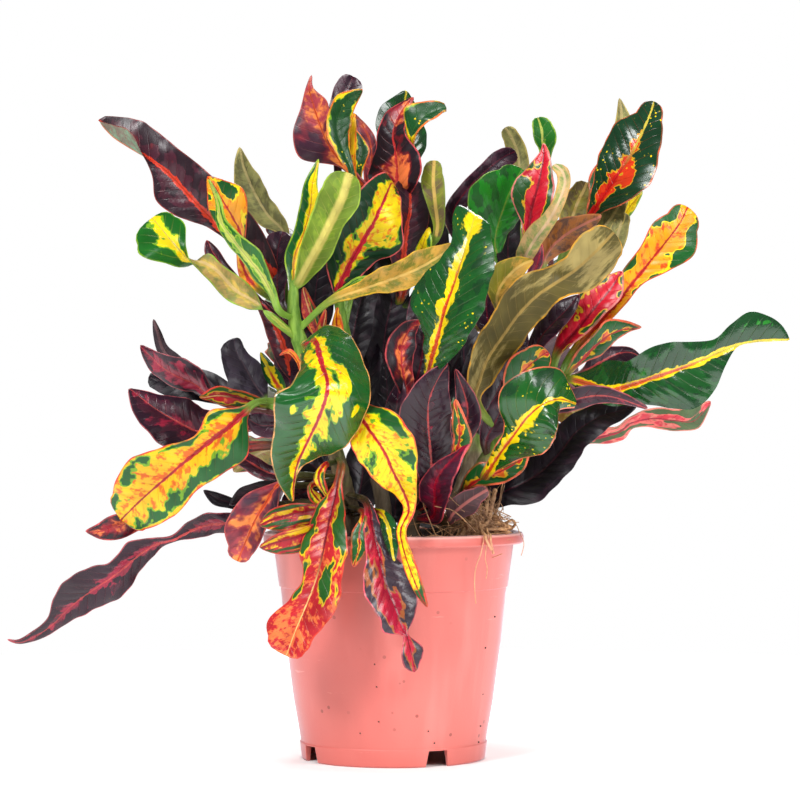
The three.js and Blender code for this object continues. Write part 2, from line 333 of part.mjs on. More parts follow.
    ["g04", 128, 1, "p", [26, 138, -40, 2, 2], [30, 148, -44, 2, 3], [33, 158, -46, 3, 6],
      [33, 167, -46, 4, 4], [31, 179, -45, 0.8, 0.8]],
    ["g05", 170, 1, "p", [9, 176, -31, 2, 2], [6, 185, -33, 4, 4], [4, 196, -34, 7, 6],
      [4, 206, -34, 7, 7], [8, 214, -33, 5, 4], [13.5, 218.5, -31, 0.8, 0.8]],
    ["g06", 120, 1, "p", [20, 120, -38, 4, 4], [21, 128, -43, 7, 6], [21, 136, -47, 8, 8],
      [25, 144, -48, 5, 7], [33, 152, -48, 2, 2.5], [39, 159, -47, 0.8, 0.8]],
    ["g07", 122, -1, "r", [26, 118, -38, 2, 2], [30, 122, -42, 6, 4], [36, 127, -45, 6, 7],
      [42, 131, -46, 4, 4], [47, 134, -46, 1, 1]],
    ["g08", 160, 1, "p", [28, 172, -26, 2, 2], [35, 184, -23, 3.5, 4], [38, 195, -22, 3, 3.5],
      [39, 207, -21, 0.6, 0.6]],
    ["g09", 134, 1, "p", [10, 142, -31, 2, 2], [3, 152, -33, 5, 5], [1, 164, -34, 7, 6],
      [2, 178, -34, 5, 5], [4, 190, -33, 1, 1]],
  ],
};

// Leaves on the far side: height on the stem, direction round the stem, slope at the base,
// how much it bends over, length, half width, roll at the base and roll at the tip.
const FAR_LEAVES = {
  back_left: [
    ["b11", 150, 122, 14, 55, 94, 12, 10, -70], ["b12", 168, 100, 34, 58, 95, 13, -15, 60],
    ["b13", 182, 76, 22, 50, 84, 12, 10, 60], ["b14", 198, 88, 44, 62, 88, 14, 0, -80],
    ["b15", 214, 104, 38, 48, 82, 12, 10, 50], ["b16", 230, 122, 54, 60, 70, 11, -10, 70],
    ["b17", 242, 70, 50, 50, 66, 10, 0, -50], ["b18", 134, 96, 20, 40, 88, 12, 0, 60],
    ["b19", 250, 96, 62, 60, 54, 9, 0, 60], ["b21", 146, 140, 26, 40, 78, 12, 0, 50],
    ["b22", 160, 158, 24, 40, 80, 11, 10, -50],
  ],
  middle_back: [
    ["d11", 138, 72, 26, 52, 82, 12, 0, -60], ["d12", 154, 52, 16, 48, 92, 13, 10, 60],
    ["d13", 172, 104, 34, 62, 86, 12, -10, -70], ["d14", 192, 80, 28, 50, 91, 14, 0, 70],
    ["d15", 212, 44, 46, 58, 80, 12, 10, -60], ["d16", 228, 112, 44, 46, 84, 12, 0, 60],
    ["d17", 244, 64, 60, 52, 72, 11, 0, -60], ["d18", 258, 118, 64, 45, 64, 10, 0, 60],
  ],
  right_back: [
    ["e21", 136, 76, 10, 46, 90, 12, 0, 60], ["e22", 152, 56, 34, 60, 84, 13, 10, -60],
    ["e23", 170, 96, 20, 46, 92, 12, -10, 70], ["e24", 190, 50, 38, 58, 90, 14, 0, -70],
    ["e25", 208, 62, 42, 55, 76, 12, 10, 60], ["e26", 226, 58, 56, 54, 78, 12, 0, -60],
    ["e27", 240, 106, 56, 45, 76, 10, 0, 60], ["e28", 156, 36, 28, 40, 74, 12, 0, 60],
    ["e29", 178, 30, 14, 36, 76, 12, 0, -50],
  ],
};

// Where along a far leaf its stations lie, and how wide it is there.
const FAR_MARKS = [0.14, 0.36, 0.62, 0.86, 1];
const FAR_WIDTHS = [0.2, 0.85, 1, 0.75, 0.06];
const DROOP = 0.75;
const SWAY = 0.25;

// Root strands: the radius, then x, y, z along each.
const STRANDS = [
  [1.6, [31, -28, 110.8], [36, -32, 115], [44, -34, 118], [52, -31, 118], [57.5, -24, 115.6]],
  [1.3, [33, -37, 108.5], [39, -38, 114], [46, -36, 119], [48, -31, 126], [50, -28, 135]],
  [1.4, [54, -14, 107.7], [54, -22, 116], [50, -30, 119.5], [43, -35, 117], [36, -38, 108]],
  [1.1, [40, -26, 109.6], [43, -31, 116], [45, -34, 122], [46, -31, 129], [47, -27, 134]],
  [1.2, [55, -30, 115.2], [51, -34, 115.8], [44, -38, 115.5], [37, -36, 117], [31, -36, 109.1]],
  [0.8, [42, -36, 117], [43, -43, 115], [43.2, -44.6, 114.15], [44.5, -48.6, 113.3], [45, -49.6, 111],
    [47.5, -50.5, 106]],
  [0.7, [46, -33, 117], [45.5, -41, 115.4], [46, -42.5, 114.1], [47, -46.5, 113.2], [47.2, -47.8, 110],
    [48.5, -48.2, 104]],
  [0.8, [54, -24, 117], [58, -24, 119.5], [60, -22, 117.5], [58, -17, 114.6]],
  [0.7, [13, -38, 110.3], [20, -39, 112.5], [28, -37, 110.6], [36, -38, 111.5]],
];
const ROOT_BALL = [37, -33, 119, 5];

function rad(degrees) {
  return (degrees * Math.PI) / 180;
}

// A closed geometry as a manifold-3d solid.
function solid(geometry) {
  const bare = geometry.clone();
  bare.deleteAttribute("normal");
  bare.deleteAttribute("uv");
  const merged = mergeVertices(bare, 1e-4);
  return new wasm.Manifold(
    new wasm.Mesh({
      numProp: 3,
      vertProperties: new Float32Array(merged.attributes.position.array),
      triVerts: new Uint32Array(merged.index.array),
    }),
  );
}

function meshOf(name, body, colour, roughness) {
  const made = body.getMesh();
  const geometry = new THREE.BufferGeometry();
  const points = new Float32Array(made.numVert * 3);
  for (let i = 0; i < made.numVert; i++) {
    points.set(made.vertProperties.subarray(i * made.numProp, i * made.numProp + 3), i * 3);
  }
  geometry.setAttribute("position", new THREE.BufferAttribute(points, 3));
  geometry.setIndex(new THREE.BufferAttribute(new Uint32Array(made.triVerts), 1));
  geometry.computeVertexNormals();
  const mesh = new THREE.Mesh(geometry, new THREE.MeshStandardMaterial({ color: colour, roughness }));
  mesh.name = name;
  return mesh;
}

// A closed solid through rings of points, each ring in the same order, with flat ends.
function loft(rings) {
  const count = rings[0].length;
  const points = rings.flat();
  const faces = [];
  for (let i = 0; i + 1 < rings.length; i++) {
    for (let j = 0; j < count; j++) {
      const a = i * count + j;
      const b = i * count + ((j + 1) % count);
      faces.push(a, b, b + count, a, b + count, a + count);
    }
  }
  const last = (rings.length - 1) * count;
  for (let j = 1; j + 1 < count; j++) {
    faces.push(0, j + 1, j);
    faces.push(last, last + j, last + j + 1);
  }
  const geometry = new THREE.BufferGeometry();
  const numbers = points.flatMap((p) => [p.x, p.y, p.z]);
  geometry.setAttribute("position", new THREE.Float32BufferAttribute(numbers, 3));
  geometry.setIndex(faces);
  return solid(geometry);
}

// A rod of few sides through points of x, y, z and radius.
function rod(points, sides) {
  const curve = new THREE.CatmullRomCurve3(points.map(([x, y, z]) => new THREE.Vector3(x, y, z)));
  const sideways = new THREE.Vector3(0.31, 0.95, 0.02);
  const rings = points.map(([, , , radius], i) => {
    const t = i / (points.length - 1);
    const middle = curve.getPoint(t);
    const along = curve.getTangent(t);
    const side = new THREE.Vector3().crossVectors(along, sideways).normalize();
    const other = new THREE.Vector3().crossVectors(along, side).normalize();
    const ring = [];
    for (let j = 0; j < sides; j++) {
      const turn = (2 * Math.PI * j) / sides;
      const point = middle.clone().addScaledVector(side, radius * Math.cos(turn));
      ring.push(point.addScaledVector(other, radius * Math.sin(turn)));
    }
    return ring;
  });
  return loft(rings);
}

// The axis point of a leafy stem at a height, on the branch that comes nearest to a place.
function axisPoint(branches, z, near) {
  let best = null;
  for (const branch of branches) {
    for (let i = 0; i + 1 < branch.length; i++) {
      const a = branch[i];
      const b = branch[i + 1];
      if (z < Math.min(a[2], b[2]) || z > Math.max(a[2], b[2])) continue;
      const t = (z - a[2]) / (b[2] - a[2]);
      const p = new THREE.Vector3(a[0] + t * (b[0] - a[0]), a[1] + t * (b[1] - a[1]), z);
      if (!near || !best || p.distanceTo(near) < best.distanceTo(near)) best = p;
    }
  }
  return best;
}

// How much further from the middle plane a thing lies at a height.
function spread(z) {
  const t = Math.min(Math.max((z - SPREAD_FROM_Z) / (SPREAD_FULL_Z - SPREAD_FROM_Z), 0), 1);
  return 1 + (SPREAD - 1) * t * t * (3 - 2 * t);
}

function seen(x, z, depth) {
  const scale = (EYE_DISTANCE + depth) / EYE_DISTANCE;
  return new THREE.Vector3(EYE_X + (x - EYE_X) * scale, depth, EYE_Z + (z - EYE_Z) * scale);
}

// Stations of a leaf: its rib point and the way out to its left and right edges.
function nearStations(branches, row) {
  const [name, height, side, , ...flat] = row;
  const list = flat.map((s) => {
    const more = spread(s[1]);
    return [s[0], s[1], s[2] * more, s[3], s[4], (s[5] || 0) * more, (s[6] || 0) * more];
  });
  const ribs = list.map((s) => seen(s[0], s[1], s[2]));
  const turned = Number(name.slice(1)) + 1.7 * name.charCodeAt(0);
  const roll = ROLL * Math.sin(2.4 * turned);
  const start = axisPoint(branches, height, ribs[0]);
  const stations = list.map((s, i) => {
    const before = i ? ribs[i - 1] : start;
    const after = ribs[Math.min(i + 1, ribs.length - 1)];
    const dx = after.x - before.x;
    const dz = after.z - before.z;
    const run = Math.hypot(dx, dz) || 1;
    const scale = (EYE_DISTANCE + s[2]) / EYE_DISTANCE;
    const left = s[3] * scale;
    const right = s[4] * scale;
    const edges = {
      rib: ribs[i],
      left: new THREE.Vector3(-dz / run, roll - side * FOLD, dx / run).multiplyScalar(left),
      right: new THREE.Vector3(dz / run, -roll - side * FOLD, -dx / run).multiplyScalar(right),
    };
    edges.left.y += s[5];
    edges.right.y += s[6];
    return edges;
  });
  stations.unshift({
    rib: start,
    left: stations[0].left.clone().setLength(PETIOLE_START),
    right: stations[0].right.clone().setLength(PETIOLE_START),
  });
  return stations;
}

function farStations(branches, row) {
  const [, height, turn, slope, bend, length, half, rollBase, rollTip] = row;
  const start = axisPoint(branches, height, null);
  const out = new THREE.Vector3(Math.cos(rad(turn)), Math.sin(rad(turn)), 0);
  const side = new THREE.Vector3(-out.y, out.x, 0);
  const stations = [
    {
      rib: start,
      left: side.clone().multiplyScalar(PETIOLE_START),
      right: side.clone().multiplyScalar(-PETIOLE_START),
    },
  ];
  const rib = start.clone();
  let before = 0;
  FAR_MARKS.forEach((mark, i) => {
    const tilt = rad(slope - bend * DROOP * (mark + before));
    const sway = SWAY * Math.sin(mark * 4 + turn);
    const along = new THREE.Vector3(out.x * Math.cos(tilt), out.y * Math.cos(tilt), Math.sin(tilt));
    along.addScaledVector(side, sway).normalize();
    rib.addScaledVector(along, (mark - before) * length);
    const level = side.clone().addScaledVector(along, -side.dot(along)).normalize();
    const up = new THREE.Vector3().crossVectors(along, level).normalize();
    const roll = rad(rollBase + (rollTip - rollBase) * mark);
    const across = level.clone().multiplyScalar(Math.cos(roll)).addScaledVector(up, Math.sin(roll));
    const face = new THREE.Vector3().crossVectors(along, across).normalize();
    const wide = half * FAR_WIDTHS[i];
    stations.push({
      rib: rib.clone(),
      left: across.clone().multiplyScalar(wide).addScaledVector(face, FOLD * wide),
      right: across.clone().multiplyScalar(-wide).addScaledVector(face, FOLD * wide),
    });
    before = mark;
  });
  return stations;
}

// Smooth value between stations, through each of them.
function blend(a, b, c, d, t) {
  const out = new THREE.Vector3();
  for (const k of ["x", "y", "z"]) {
    const slope0 = (c[k] - a[k]) / 2;
    const slope1 = (d[k] - b[k]) / 2;
    out[k] =
      (2 * t ** 3 - 3 * t ** 2 + 1) * b[k] +
      (t ** 3 - 2 * t ** 2 + t) * slope0 +
      (3 * t ** 2 - 2 * t ** 3) * c[k] +
      (t ** 3 - t ** 2) * slope1;
  }
  return out;
}

// A leaf blade: two strips across, or one if it is narrow, waved at both edges, one closed solid.
function leaf(stations, round) {
  const marks = [];
  const last = stations.length - 1;
  for (let i = 0; i < last; i++) {
    marks.push(i);
    const run = stations[i].rib.distanceTo(stations[i + 1].rib);
    if (i > 0 && i < last - 1 && run > LONG_RUN) marks.push(i + 0.5);
    if (i === last - 1 && round) marks.push(i + 0.55, i + 0.86);
  }
  marks.push(last);
  const rows = marks.map((mark) => {
    const i = Math.min(Math.floor(mark), last - 1);
    const t = mark - i;
    const ring = {};
    for (const key of ["rib", "left", "right"]) {
      const at = (n) => stations[Math.min(Math.max(n, 0), last)][key];
      ring[key] = blend(at(i - 1), at(i), at(i + 1), at(i + 2), t);
      if (round && i === last - 1 && key !== "rib") {
        ring[key] = at(i).clone().multiplyScalar(Math.max(Math.sqrt(1 - t * t), 0.12));
      }
    }
    return ring;
  });
  const narrow = rows.every((row) => row.left.distanceTo(row.right) < NARROW);
  let reach = 0;
  const rings = rows.map((row, i) => {
    if (i) reach += row.rib.distanceTo(rows[i - 1].rib);
    const next = rows[Math.min(i + 1, rows.length - 1)].rib;
    const along = next.clone().sub(rows[Math.max(i - 1, 0)].rib).normalize();
    const across = row.left.clone().sub(row.right);
    const normal = new THREE.Vector3().crossVectors(along, across).normalize();
    const wide = across.length() / 2;
    const sway = WAVE * Math.min(wide / 10, 1) * (i < rows.length - 1 ? 1 : 0);
    const thick = wide < 3 && i < 3 ? PETIOLE : BLADE;
    const left = row.rib.clone().add(row.left);
    left.addScaledVector(normal, sway * Math.sin((2 * Math.PI * reach) / WAVE_LENGTH));
    const right = row.rib.clone().add(row.right);
    right.addScaledVector(normal, sway * Math.cos((2 * Math.PI * reach) / WAVE_LENGTH));
    const rails = narrow ? [left, right] : [left, row.rib, right];
    return [
      ...rails.map((p) => p.clone().addScaledVector(normal, -thick / 2)),
      ...rails.reverse().map((p) => p.clone().addScaledVector(normal, thick / 2)),
    ];
  });
  const body = loft(rings);
  return body.volume() < 0 ? loft(rings.map((r) => [...r].reverse())) : body;
}

// Pot: a turned thin-walled shell with a rolled lip, a raised floor and a notched foot
function potBody() {
  const ledgeRadius = FOOT_RADIUS + ((SHOULDER_RADIUS - FOOT_RADIUS) * LEDGE_Z) / LIP_BOTTOM;
  const profile = [
    [0, FLOOR_TOP - 1.8],
    [FOOT_RADIUS - 2.4, FLOOR_TOP - 1.8],
    [FOOT_RADIUS - 2.2, 0],
    [FOOT_RADIUS - 1, 0],
    [FOOT_RADIUS - 0.2, 0.6],
    [FOOT_RADIUS, 2],
    [FOOT_RADIUS + 0.5, FOOT_BAND],
    [FOOT_RADIUS + 0.1, FOOT_BAND + 0.5],
    [ledgeRadius - LEDGE, LEDGE_Z],
    [ledgeRadius, LEDGE_Z + 0.5],
    [SHOULDER_RADIUS, LIP_BOTTOM],
    [LIP_RADIUS - 0.6, LIP_BOTTOM],
    [LIP_RADIUS, LIP_BOTTOM + 0.7],
    [LIP_RADIUS, POT_HEIGHT - 2],
    [LIP_RADIUS - 0.7, POT_HEIGHT - 0.5],
    [LIP_RADIUS - 2.2, POT_HEIGHT],
    [SHOULDER_RADIUS + 0.5, POT_HEIGHT - 0.4],
    [SHOULDER_RADIUS - WALL, LIP_BOTTOM - 1.5],
    [FOOT_RADIUS + 0.4 - WALL, FLOOR_TOP],
    [0, FLOOR_TOP],
  ];
  const turned = new THREE.LatheGeometry(profile.map((p) => new THREE.Vector2(p[0], p[1])), POT_SIDES);
  turned.rotateX(Math.PI / 2);
  let body = solid(turned);
  const notch = new THREE.Shape();
  const half = NOTCH_WIDTH / 2;
  notch.moveTo(-half, NOTCH_HEIGHT);
  notch.lineTo(-half - 0.2, 2.8);
  notch.lineTo(-half - 1.4, 1);
  notch.lineTo(-half - 4, -0.2);
  notch.lineTo(-half - 4, -1);
  notch.lineTo(half + 4, -1);
  notch.lineTo(half + 4, -0.2);
  notch.lineTo(half + 1.4, 1);
  notch.lineTo(half + 0.2, 2.8);
  notch.lineTo(half, NOTCH_HEIGHT);
  NOTCH_ANGLES.forEach((angle) => {
    const cutter = new THREE.ExtrudeGeometry(notch, { depth: 14, bevelEnabled: false });
    cutter.rotateX(Math.PI / 2);
    cutter.translate(0, -36, 0);
    cutter.rotateZ(rad(angle));
    body = body.subtract(solid(cutter));
  });
  return body;
}

// Soil: fills the pot, heaped in the middle, with a plain hole for each stem
function soilBody() {
  const rings = [];
  const inner = (z) => {
    const low = FOOT_RADIUS + 0.4 - WALL;
    const high = SHOULDER_RADIUS - WALL;
    return low + ((high - low) * (z - FLOOR_TOP)) / (LIP_BOTTOM - 1.5 - FLOOR_TOP) - GAP - 0.1;
  };
  const levels = [
    [inner(FLOOR_TOP + GAP), FLOOR_TOP + GAP],
    [inner(SOIL_EDGE_Z), SOIL_EDGE_Z],
  ];
  for (const share of SOIL_RINGS) {
    levels.push([inner(SOIL_EDGE_Z) * share, null]);
  }
  levels.forEach(([radius, z]) => {
    const ring = [];
    for (let j = 0; j < SOIL_SIDES; j++) {
      const turn = (2 * Math.PI * j) / SOIL_SIDES;
      const share = radius / inner(SOIL_EDGE_Z);
      const wide = SOIL_LUMPS[0] * Math.sin(3 * turn + radius * 0.3);
      const small = SOIL_LUMPS[1] * Math.sin(7 * turn + radius * 0.7);
      const top = SOIL_EDGE_Z + (SOIL_MIDDLE_Z - SOIL_EDGE_Z) * (1 - share * share) + wide + small;
      ring.push(new THREE.Vector3(radius * Math.cos(turn), radius * Math.sin(turn), z === null ? top : z));
    }
    rings.push(ring);
  });
  let body = loft(rings);
  for (const branches of Object.values(STEMS)) {
    const [x, y, , radius] = branches[0][0];
    const hole = new THREE.CylinderGeometry(radius + GAP, radius + GAP, HOLE_HEIGHT, 10);
    hole.rotateX(Math.PI / 2);
    hole.translate(x, y, HOLE_BOTTOM + HOLE_HEIGHT / 2);
    body = body.subtract(solid(hole));
  }
  return body;
}

function rootBody() {
  const parts = STRANDS.map(([radius, ...points]) => {
    return rod(points.map((p) => [...p, radius]), STRAND_SIDES);
  });
  const ball = new THREE.IcosahedronGeometry(ROOT_BALL[3], 1);
  ball.translate(ROOT_BALL[0], ROOT_BALL[1], ROOT_BALL[2]);
  parts.push(solid(ball));
  return wasm.Manifold.union(parts);
}

const croton = new THREE.Group();
croton.name = "potted_croton";
croton.add(meshOf("pot", potBody(), 0xf29a8b, 0.45));
croton.add(meshOf("soil", soilBody(), 0x35261f, 0.95));
croton.add(meshOf("roots", rootBody(), 0xa67c52, 0.9));
const COLOURS = {
  front_left: 0xc9b51e,
  back_left: 0x4a2637,
  middle_left: 0xb8452a,
  middle_back: 0x5d2130,
  right_back: 0x2f6b33,
  right_front: 0x8c7a35,
  middle_front: 0x24572f,
};
const leaning = ([x, y, z, radius]) => [x, y * spread(z), z, radius];
for (const [name, upright] of Object.entries(STEMS)) {
  const branches = upright.map((branch) => branch.map(leaning));
  const parts = branches.map((branch) => rod(branch, STEM_SIDES));
  for (const row of LEAVES[name]) parts.push(leaf(nearStations(branches, row), row[3] === "r"));
  for (const row of FAR_LEAVES[name] || []) parts.push(leaf(farStations(branches, row), false));
  croton.add(meshOf("leafy_stem_" + name, wasm.Manifold.union(parts), COLOURS[name], 0.4));
}

export default croton;
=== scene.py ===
# A croton in a salmon nursery pot, on a pale floor in soft studio light.
# Metres, Z up, the middle of the pot's foot at the origin, the front toward -Y.
import math

import bpy
import numpy as np
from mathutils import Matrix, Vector, noise


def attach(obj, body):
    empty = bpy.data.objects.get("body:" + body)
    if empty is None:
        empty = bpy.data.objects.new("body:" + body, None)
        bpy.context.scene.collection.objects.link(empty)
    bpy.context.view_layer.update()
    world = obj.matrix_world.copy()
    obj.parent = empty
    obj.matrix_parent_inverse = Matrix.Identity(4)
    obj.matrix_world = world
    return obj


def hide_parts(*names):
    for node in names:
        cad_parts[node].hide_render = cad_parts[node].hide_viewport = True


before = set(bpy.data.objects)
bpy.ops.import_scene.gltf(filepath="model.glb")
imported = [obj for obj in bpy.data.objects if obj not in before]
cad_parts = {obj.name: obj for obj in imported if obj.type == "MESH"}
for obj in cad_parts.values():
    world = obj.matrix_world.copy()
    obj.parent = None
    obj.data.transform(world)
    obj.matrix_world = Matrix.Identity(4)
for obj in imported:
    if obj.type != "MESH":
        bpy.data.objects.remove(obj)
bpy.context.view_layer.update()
MM = 0.001

# Camera, floor and light
# The eye is level, a metre and a half in front of the plant, at about half its height.
# The floor is a round lit white sheet in a white room, under four soft lamps.
EYE_X = 3.25
EYE_Z = 178.6
EYE_DISTANCE = 1500
LENS = 135
SENSOR = 36
FLOOR_RADIUS = 0.65
FLOOR_SIDES = 128
FLOOR_GLOW = 0.75
GLOW_FROM = 0.05  # the sheet is dark under the pot and lit this far out, in metres
GLOW_FULL = 0.16
ROOM_LIGHT = 0.22
WHITE = 1.0
LAMPS = [  # place in metres, side in metres, power in watts
    ((-0.8, -1.2, 1.3), 0.5, 26.5),
    ((1.3, -0.9, 0.7), 0.6, 13),
    ((0.3, -1.5, 1.05), 0.35, 8.5),
    ((0.3, 1.2, 1.3), 0.8, 17),
]
LAMP_AIM = Vector((0, 0, 0.2))
FIRST_COLOUR = 6  # the places of a mix node's colour sockets
SECOND_COLOUR = 7
MIXED_COLOUR = 2


def srgb(red, green, blue):
    """A colour as a screen shows it, as the linear numbers that a shader takes."""
    shares = [value / 255 for value in (red, green, blue)]
    return tuple(v / 12.92 if v <= 0.04045 else ((v + 0.055) / 1.055) ** 2.4 for v in shares) + (1,)


bpy.ops.object.camera_add(
    location=(EYE_X * MM, -EYE_DISTANCE * MM, EYE_Z * MM), rotation=(math.pi / 2, 0, 0)
)
camera = bpy.context.object
camera.data.lens = LENS
camera.data.sensor_width = SENSOR
bpy.context.scene.camera = camera
bpy.context.scene.view_settings.view_transform = "Standard"

world = bpy.data.worlds.new("white_room")
world.use_nodes = True
room = world.node_tree.nodes["Background"]
room.inputs["Color"].default_value = (1, 1, 1, 1)
ray = world.node_tree.nodes.new("ShaderNodeLightPath")
strength = world.node_tree.nodes.new("ShaderNodeMapRange")
strength.inputs["To Min"].default_value = ROOM_LIGHT
strength.inputs["To Max"].default_value = WHITE
world.node_tree.links.new(ray.outputs["Is Camera Ray"], strength.inputs["Value"])
world.node_tree.links.new(strength.outputs[0], room.inputs["Strength"])
bpy.context.scene.world = world

for place, side, power in LAMPS:
    bpy.ops.object.light_add(type="AREA", location=place)
    lamp = bpy.context.object
    lamp.data.size = side
    lamp.data.energy = power
    lamp.rotation_euler = (LAMP_AIM - Vector(place)).to_track_quat("-Z", "Y").to_euler()


class Finish:
    """A material and the few kinds of node that its patterns are put together from."""

    def __init__(self, name):
        self.material = bpy.data.materials.new(name)
        self.material.use_nodes = True
        self.tree = self.material.node_tree
        self.surface = self.tree.nodes["Principled BSDF"]

    def add(self, kind, settings=None, **inputs):
        made = self.tree.nodes.new("ShaderNode" + kind)
        for key, value in (settings or {}).items():
            setattr(made, key, value)
        for key, value in inputs.items():
            self.put(made.inputs[key.replace("_", " ")], value)
        return made

    def put(self, socket, value):
        if isinstance(value, bpy.types.NodeSocket):
            self.tree.links.new(value, socket)
        else:
            socket.default_value = value

    def paint(self, socket, value):
        """Puts in a colour: another node's output, or three numbers as a screen shows it."""
        self.put(socket, srgb(*value) if isinstance(value, tuple) else value)

    def math(self, operation, *values):
        made = self.add("Math", {"operation": operation})
        for socket, value in zip(made.inputs, values):
            self.put(socket, value)
        return made.outputs[0]

    def plus(self, first, second):
        return self.math("ADD", first, second)

    def minus(self, first, second):
        return self.math("SUBTRACT", first, second)

    def times(self, first, second):
        return self.math("MULTIPLY", first, second)

    def place(self):
        return self.add("TexCoord").outputs["Object"]

    def height(self):
        """How high a point of the piece lies, in metres."""
        return self.add("SeparateXYZ", Vector=self.place()).outputs["Z"]

    def value(self, name):
        return self.add("Attribute", {"attribute_name": name}).outputs["Fac"]

    def stretch(self, vector, scale):
        return self.add("Mapping", Vector=vector, Scale=scale).outputs[0]

    def vector(self, x, y, z):
        return self.add("CombineXYZ", X=x, Y=y, Z=z).outputs[0]

    def noise(self, vector, scale, detail=2.0, rough=0.5):
        made = self.add("TexNoise", Vector=vector, Scale=scale, Detail=detail, Roughness=rough)
        return made.outputs[0]

    def cells(self, vector, scale):
        return self.add("TexVoronoi", Vector=vector, Scale=scale).outputs["Distance"]

    def step(self, value, start, end, low=0.0, high=1.0):
        """low below start and high above end, with a soft passage between them."""
        ends = {"From_Min": start, "From_Max": end, "To_Min": low, "To_Max": high}
        made = self.add("MapRange", {"interpolation_type": "SMOOTHSTEP"}, Value=value, **ends)
        return made.outputs[0]

    def mix(self, share, first, second, kind="MIX"):
        made = self.add("Mix", {"data_type": "RGBA", "blend_type": kind}, Factor=share)
        self.paint(made.inputs[FIRST_COLOUR], first)
        self.paint(made.inputs[SECOND_COLOUR], second)
        return made.outputs[MIXED_COLOUR]

    def bump(self, height, distance, strength=1.0):
        made = self.add("Bump", Height=height, Distance=distance, Strength=strength)
        self.put(self.surface.inputs["Normal"], made.outputs[0])

    def set(self, **inputs):
        for key, value in inputs.items():
            self.put(self.surface.inputs[key.replace("_", " ")], value)


def dress(piece, finish):
    piece.data.materials.clear()
    piece.data.materials.append(finish.material)


def start_piece(name):
    """The primitive that was just added, under its own name."""
    piece = bpy.context.object
    piece.name = name
    piece.data.name = name
    return piece


bpy.ops.object.select_all(action="DESELECT")
bpy.ops.mesh.primitive_circle_add(vertices=FLOOR_SIDES, radius=FLOOR_RADIUS, fill_type="NGON")
floor = start_piece("floor")
sheet = Finish("white_sheet")
from_pot = sheet.add("VectorMath", {"operation": "LENGTH"}, Vector=sheet.place())
glow = sheet.step(from_pot.outputs["Value"], GLOW_FROM, GLOW_FULL, 0.0, FLOOR_GLOW)
sheet.set(
    Base_Color=sheet.mix(sheet.noise(sheet.place(), 3.0), (246, 246, 246), (252, 252, 252)),
    Roughness=0.85,
    Emission_Color=(1, 1, 1, 1),
    Emission_Strength=glow,
)
dress(floor, sheet)

# Nursery pot
# A round plant pot in salmon polypropylene, injection moulded in one piece about 1.4 mm thick.
# It has a rolled lip, a faint ledge under it and a foot band with four drain notches.
POT_HEIGHT = 113
LIP_RADIUS = 65
LIP_BOTTOM = 107.5
FOOT_RADIUS = 46
FOOT_BAND = 8.4
FLOOR_TOP = 10.2
FLOOR_THICK = 1.8
SHOULDER_RADIUS = 60
WALL = 1.4
LEDGE_Z = 85.5
LEDGE = 0.8
NOTCH_WIDTH = 10
NOTCH_HEIGHT = 8
NOTCH_FLARE = 1.4
NOTCH_DEPTH = 7
NOTCH_ANGLES = [-62, 28, 118, 208]
INNER_FOOT_RADIUS = FOOT_RADIUS + 0.4 - WALL
FLOOR_MIDDLE = 8
POT_SIDES = 160
LIP_ROUND = 0.7
MOULD_EDGE = 0.35
SHARP = 35


def wall_radius(z):
    return FOOT_RADIUS + (SHOULDER_RADIUS - FOOT_RADIUS) * z / LIP_BOTTOM


def ring_to(start, end):
    """Extrudes the selected ring from one (radius, height) to the next."""
    rise = (0, 0, (end[1] - start[1]) * MM)
    bpy.ops.mesh.extrude_region_move(TRANSFORM_OT_translate={"value": rise})
    share = end[0] / start[0]
    bpy.ops.transform.resize(value=(share, share, 1), center_override=(0, 0, 0))


def apply_all(piece):
    bpy.context.view_layer.objects.active = piece
    for modifier in list(piece.modifiers):
        bpy.ops.object.modifier_apply(modifier=modifier.name)


def keep(piece, node):
    """A finished piece, in place of a node of the part."""
    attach(piece, "root")
    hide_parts(node)


POT_PROFILE = [  # radius and height, from the middle underneath, up outside, and down inside
    (FLOOR_MIDDLE, FLOOR_TOP - FLOOR_THICK),
    (FOOT_RADIUS - 2.4, FLOOR_TOP - FLOOR_THICK),
    (FOOT_RADIUS - 2.2, 0.4),
    (FOOT_RADIUS - 1.8, 0),
    (FOOT_RADIUS - 1, 0),
    (FOOT_RADIUS - 0.2, 0.6),
    (FOOT_RADIUS, 2),
    (FOOT_RADIUS + 0.7, FOOT_BAND),
    (FOOT_RADIUS + 0.15, FOOT_BAND + 0.6),
    (wall_radius(30), 30),
    (wall_radius(60), 60),
    (wall_radius(LEDGE_Z) - LEDGE, LEDGE_Z),
    (wall_radius(LEDGE_Z), LEDGE_Z + 0.5),
    (SHOULDER_RADIUS, LIP_BOTTOM),
    (LIP_RADIUS - 0.8, LIP_BOTTOM),
    (LIP_RADIUS, LIP_BOTTOM + 0.8),
    (LIP_RADIUS, POT_HEIGHT - 2),
    (LIP_RADIUS - LIP_ROUND, POT_HEIGHT - 0.5),
    (LIP_RADIUS - 2.2, POT_HEIGHT),
    (SHOULDER_RADIUS + 1.5, POT_HEIGHT - 0.1),
    (SHOULDER_RADIUS + 0.4, POT_HEIGHT - 0.7),
    (SHOULDER_RADIUS - WALL, LIP_BOTTOM - 1.5),
    (wall_radius(60) - WALL, 60),
    (INNER_FOOT_RADIUS, FLOOR_TOP),
    (FLOOR_MIDDLE, FLOOR_TOP),
]
bpy.ops.object.select_all(action="DESELECT")
bpy.ops.mesh.primitive_circle_add(
    vertices=POT_SIDES,
    radius=POT_PROFILE[0][0] * MM,
    fill_type="NGON",
    location=(0, 0, POT_PROFILE[0][1] * MM),
    enter_editmode=True,
)
bpy.ops.object.mode_set(mode="OBJECT")
pot = start_piece("nursery_pot")
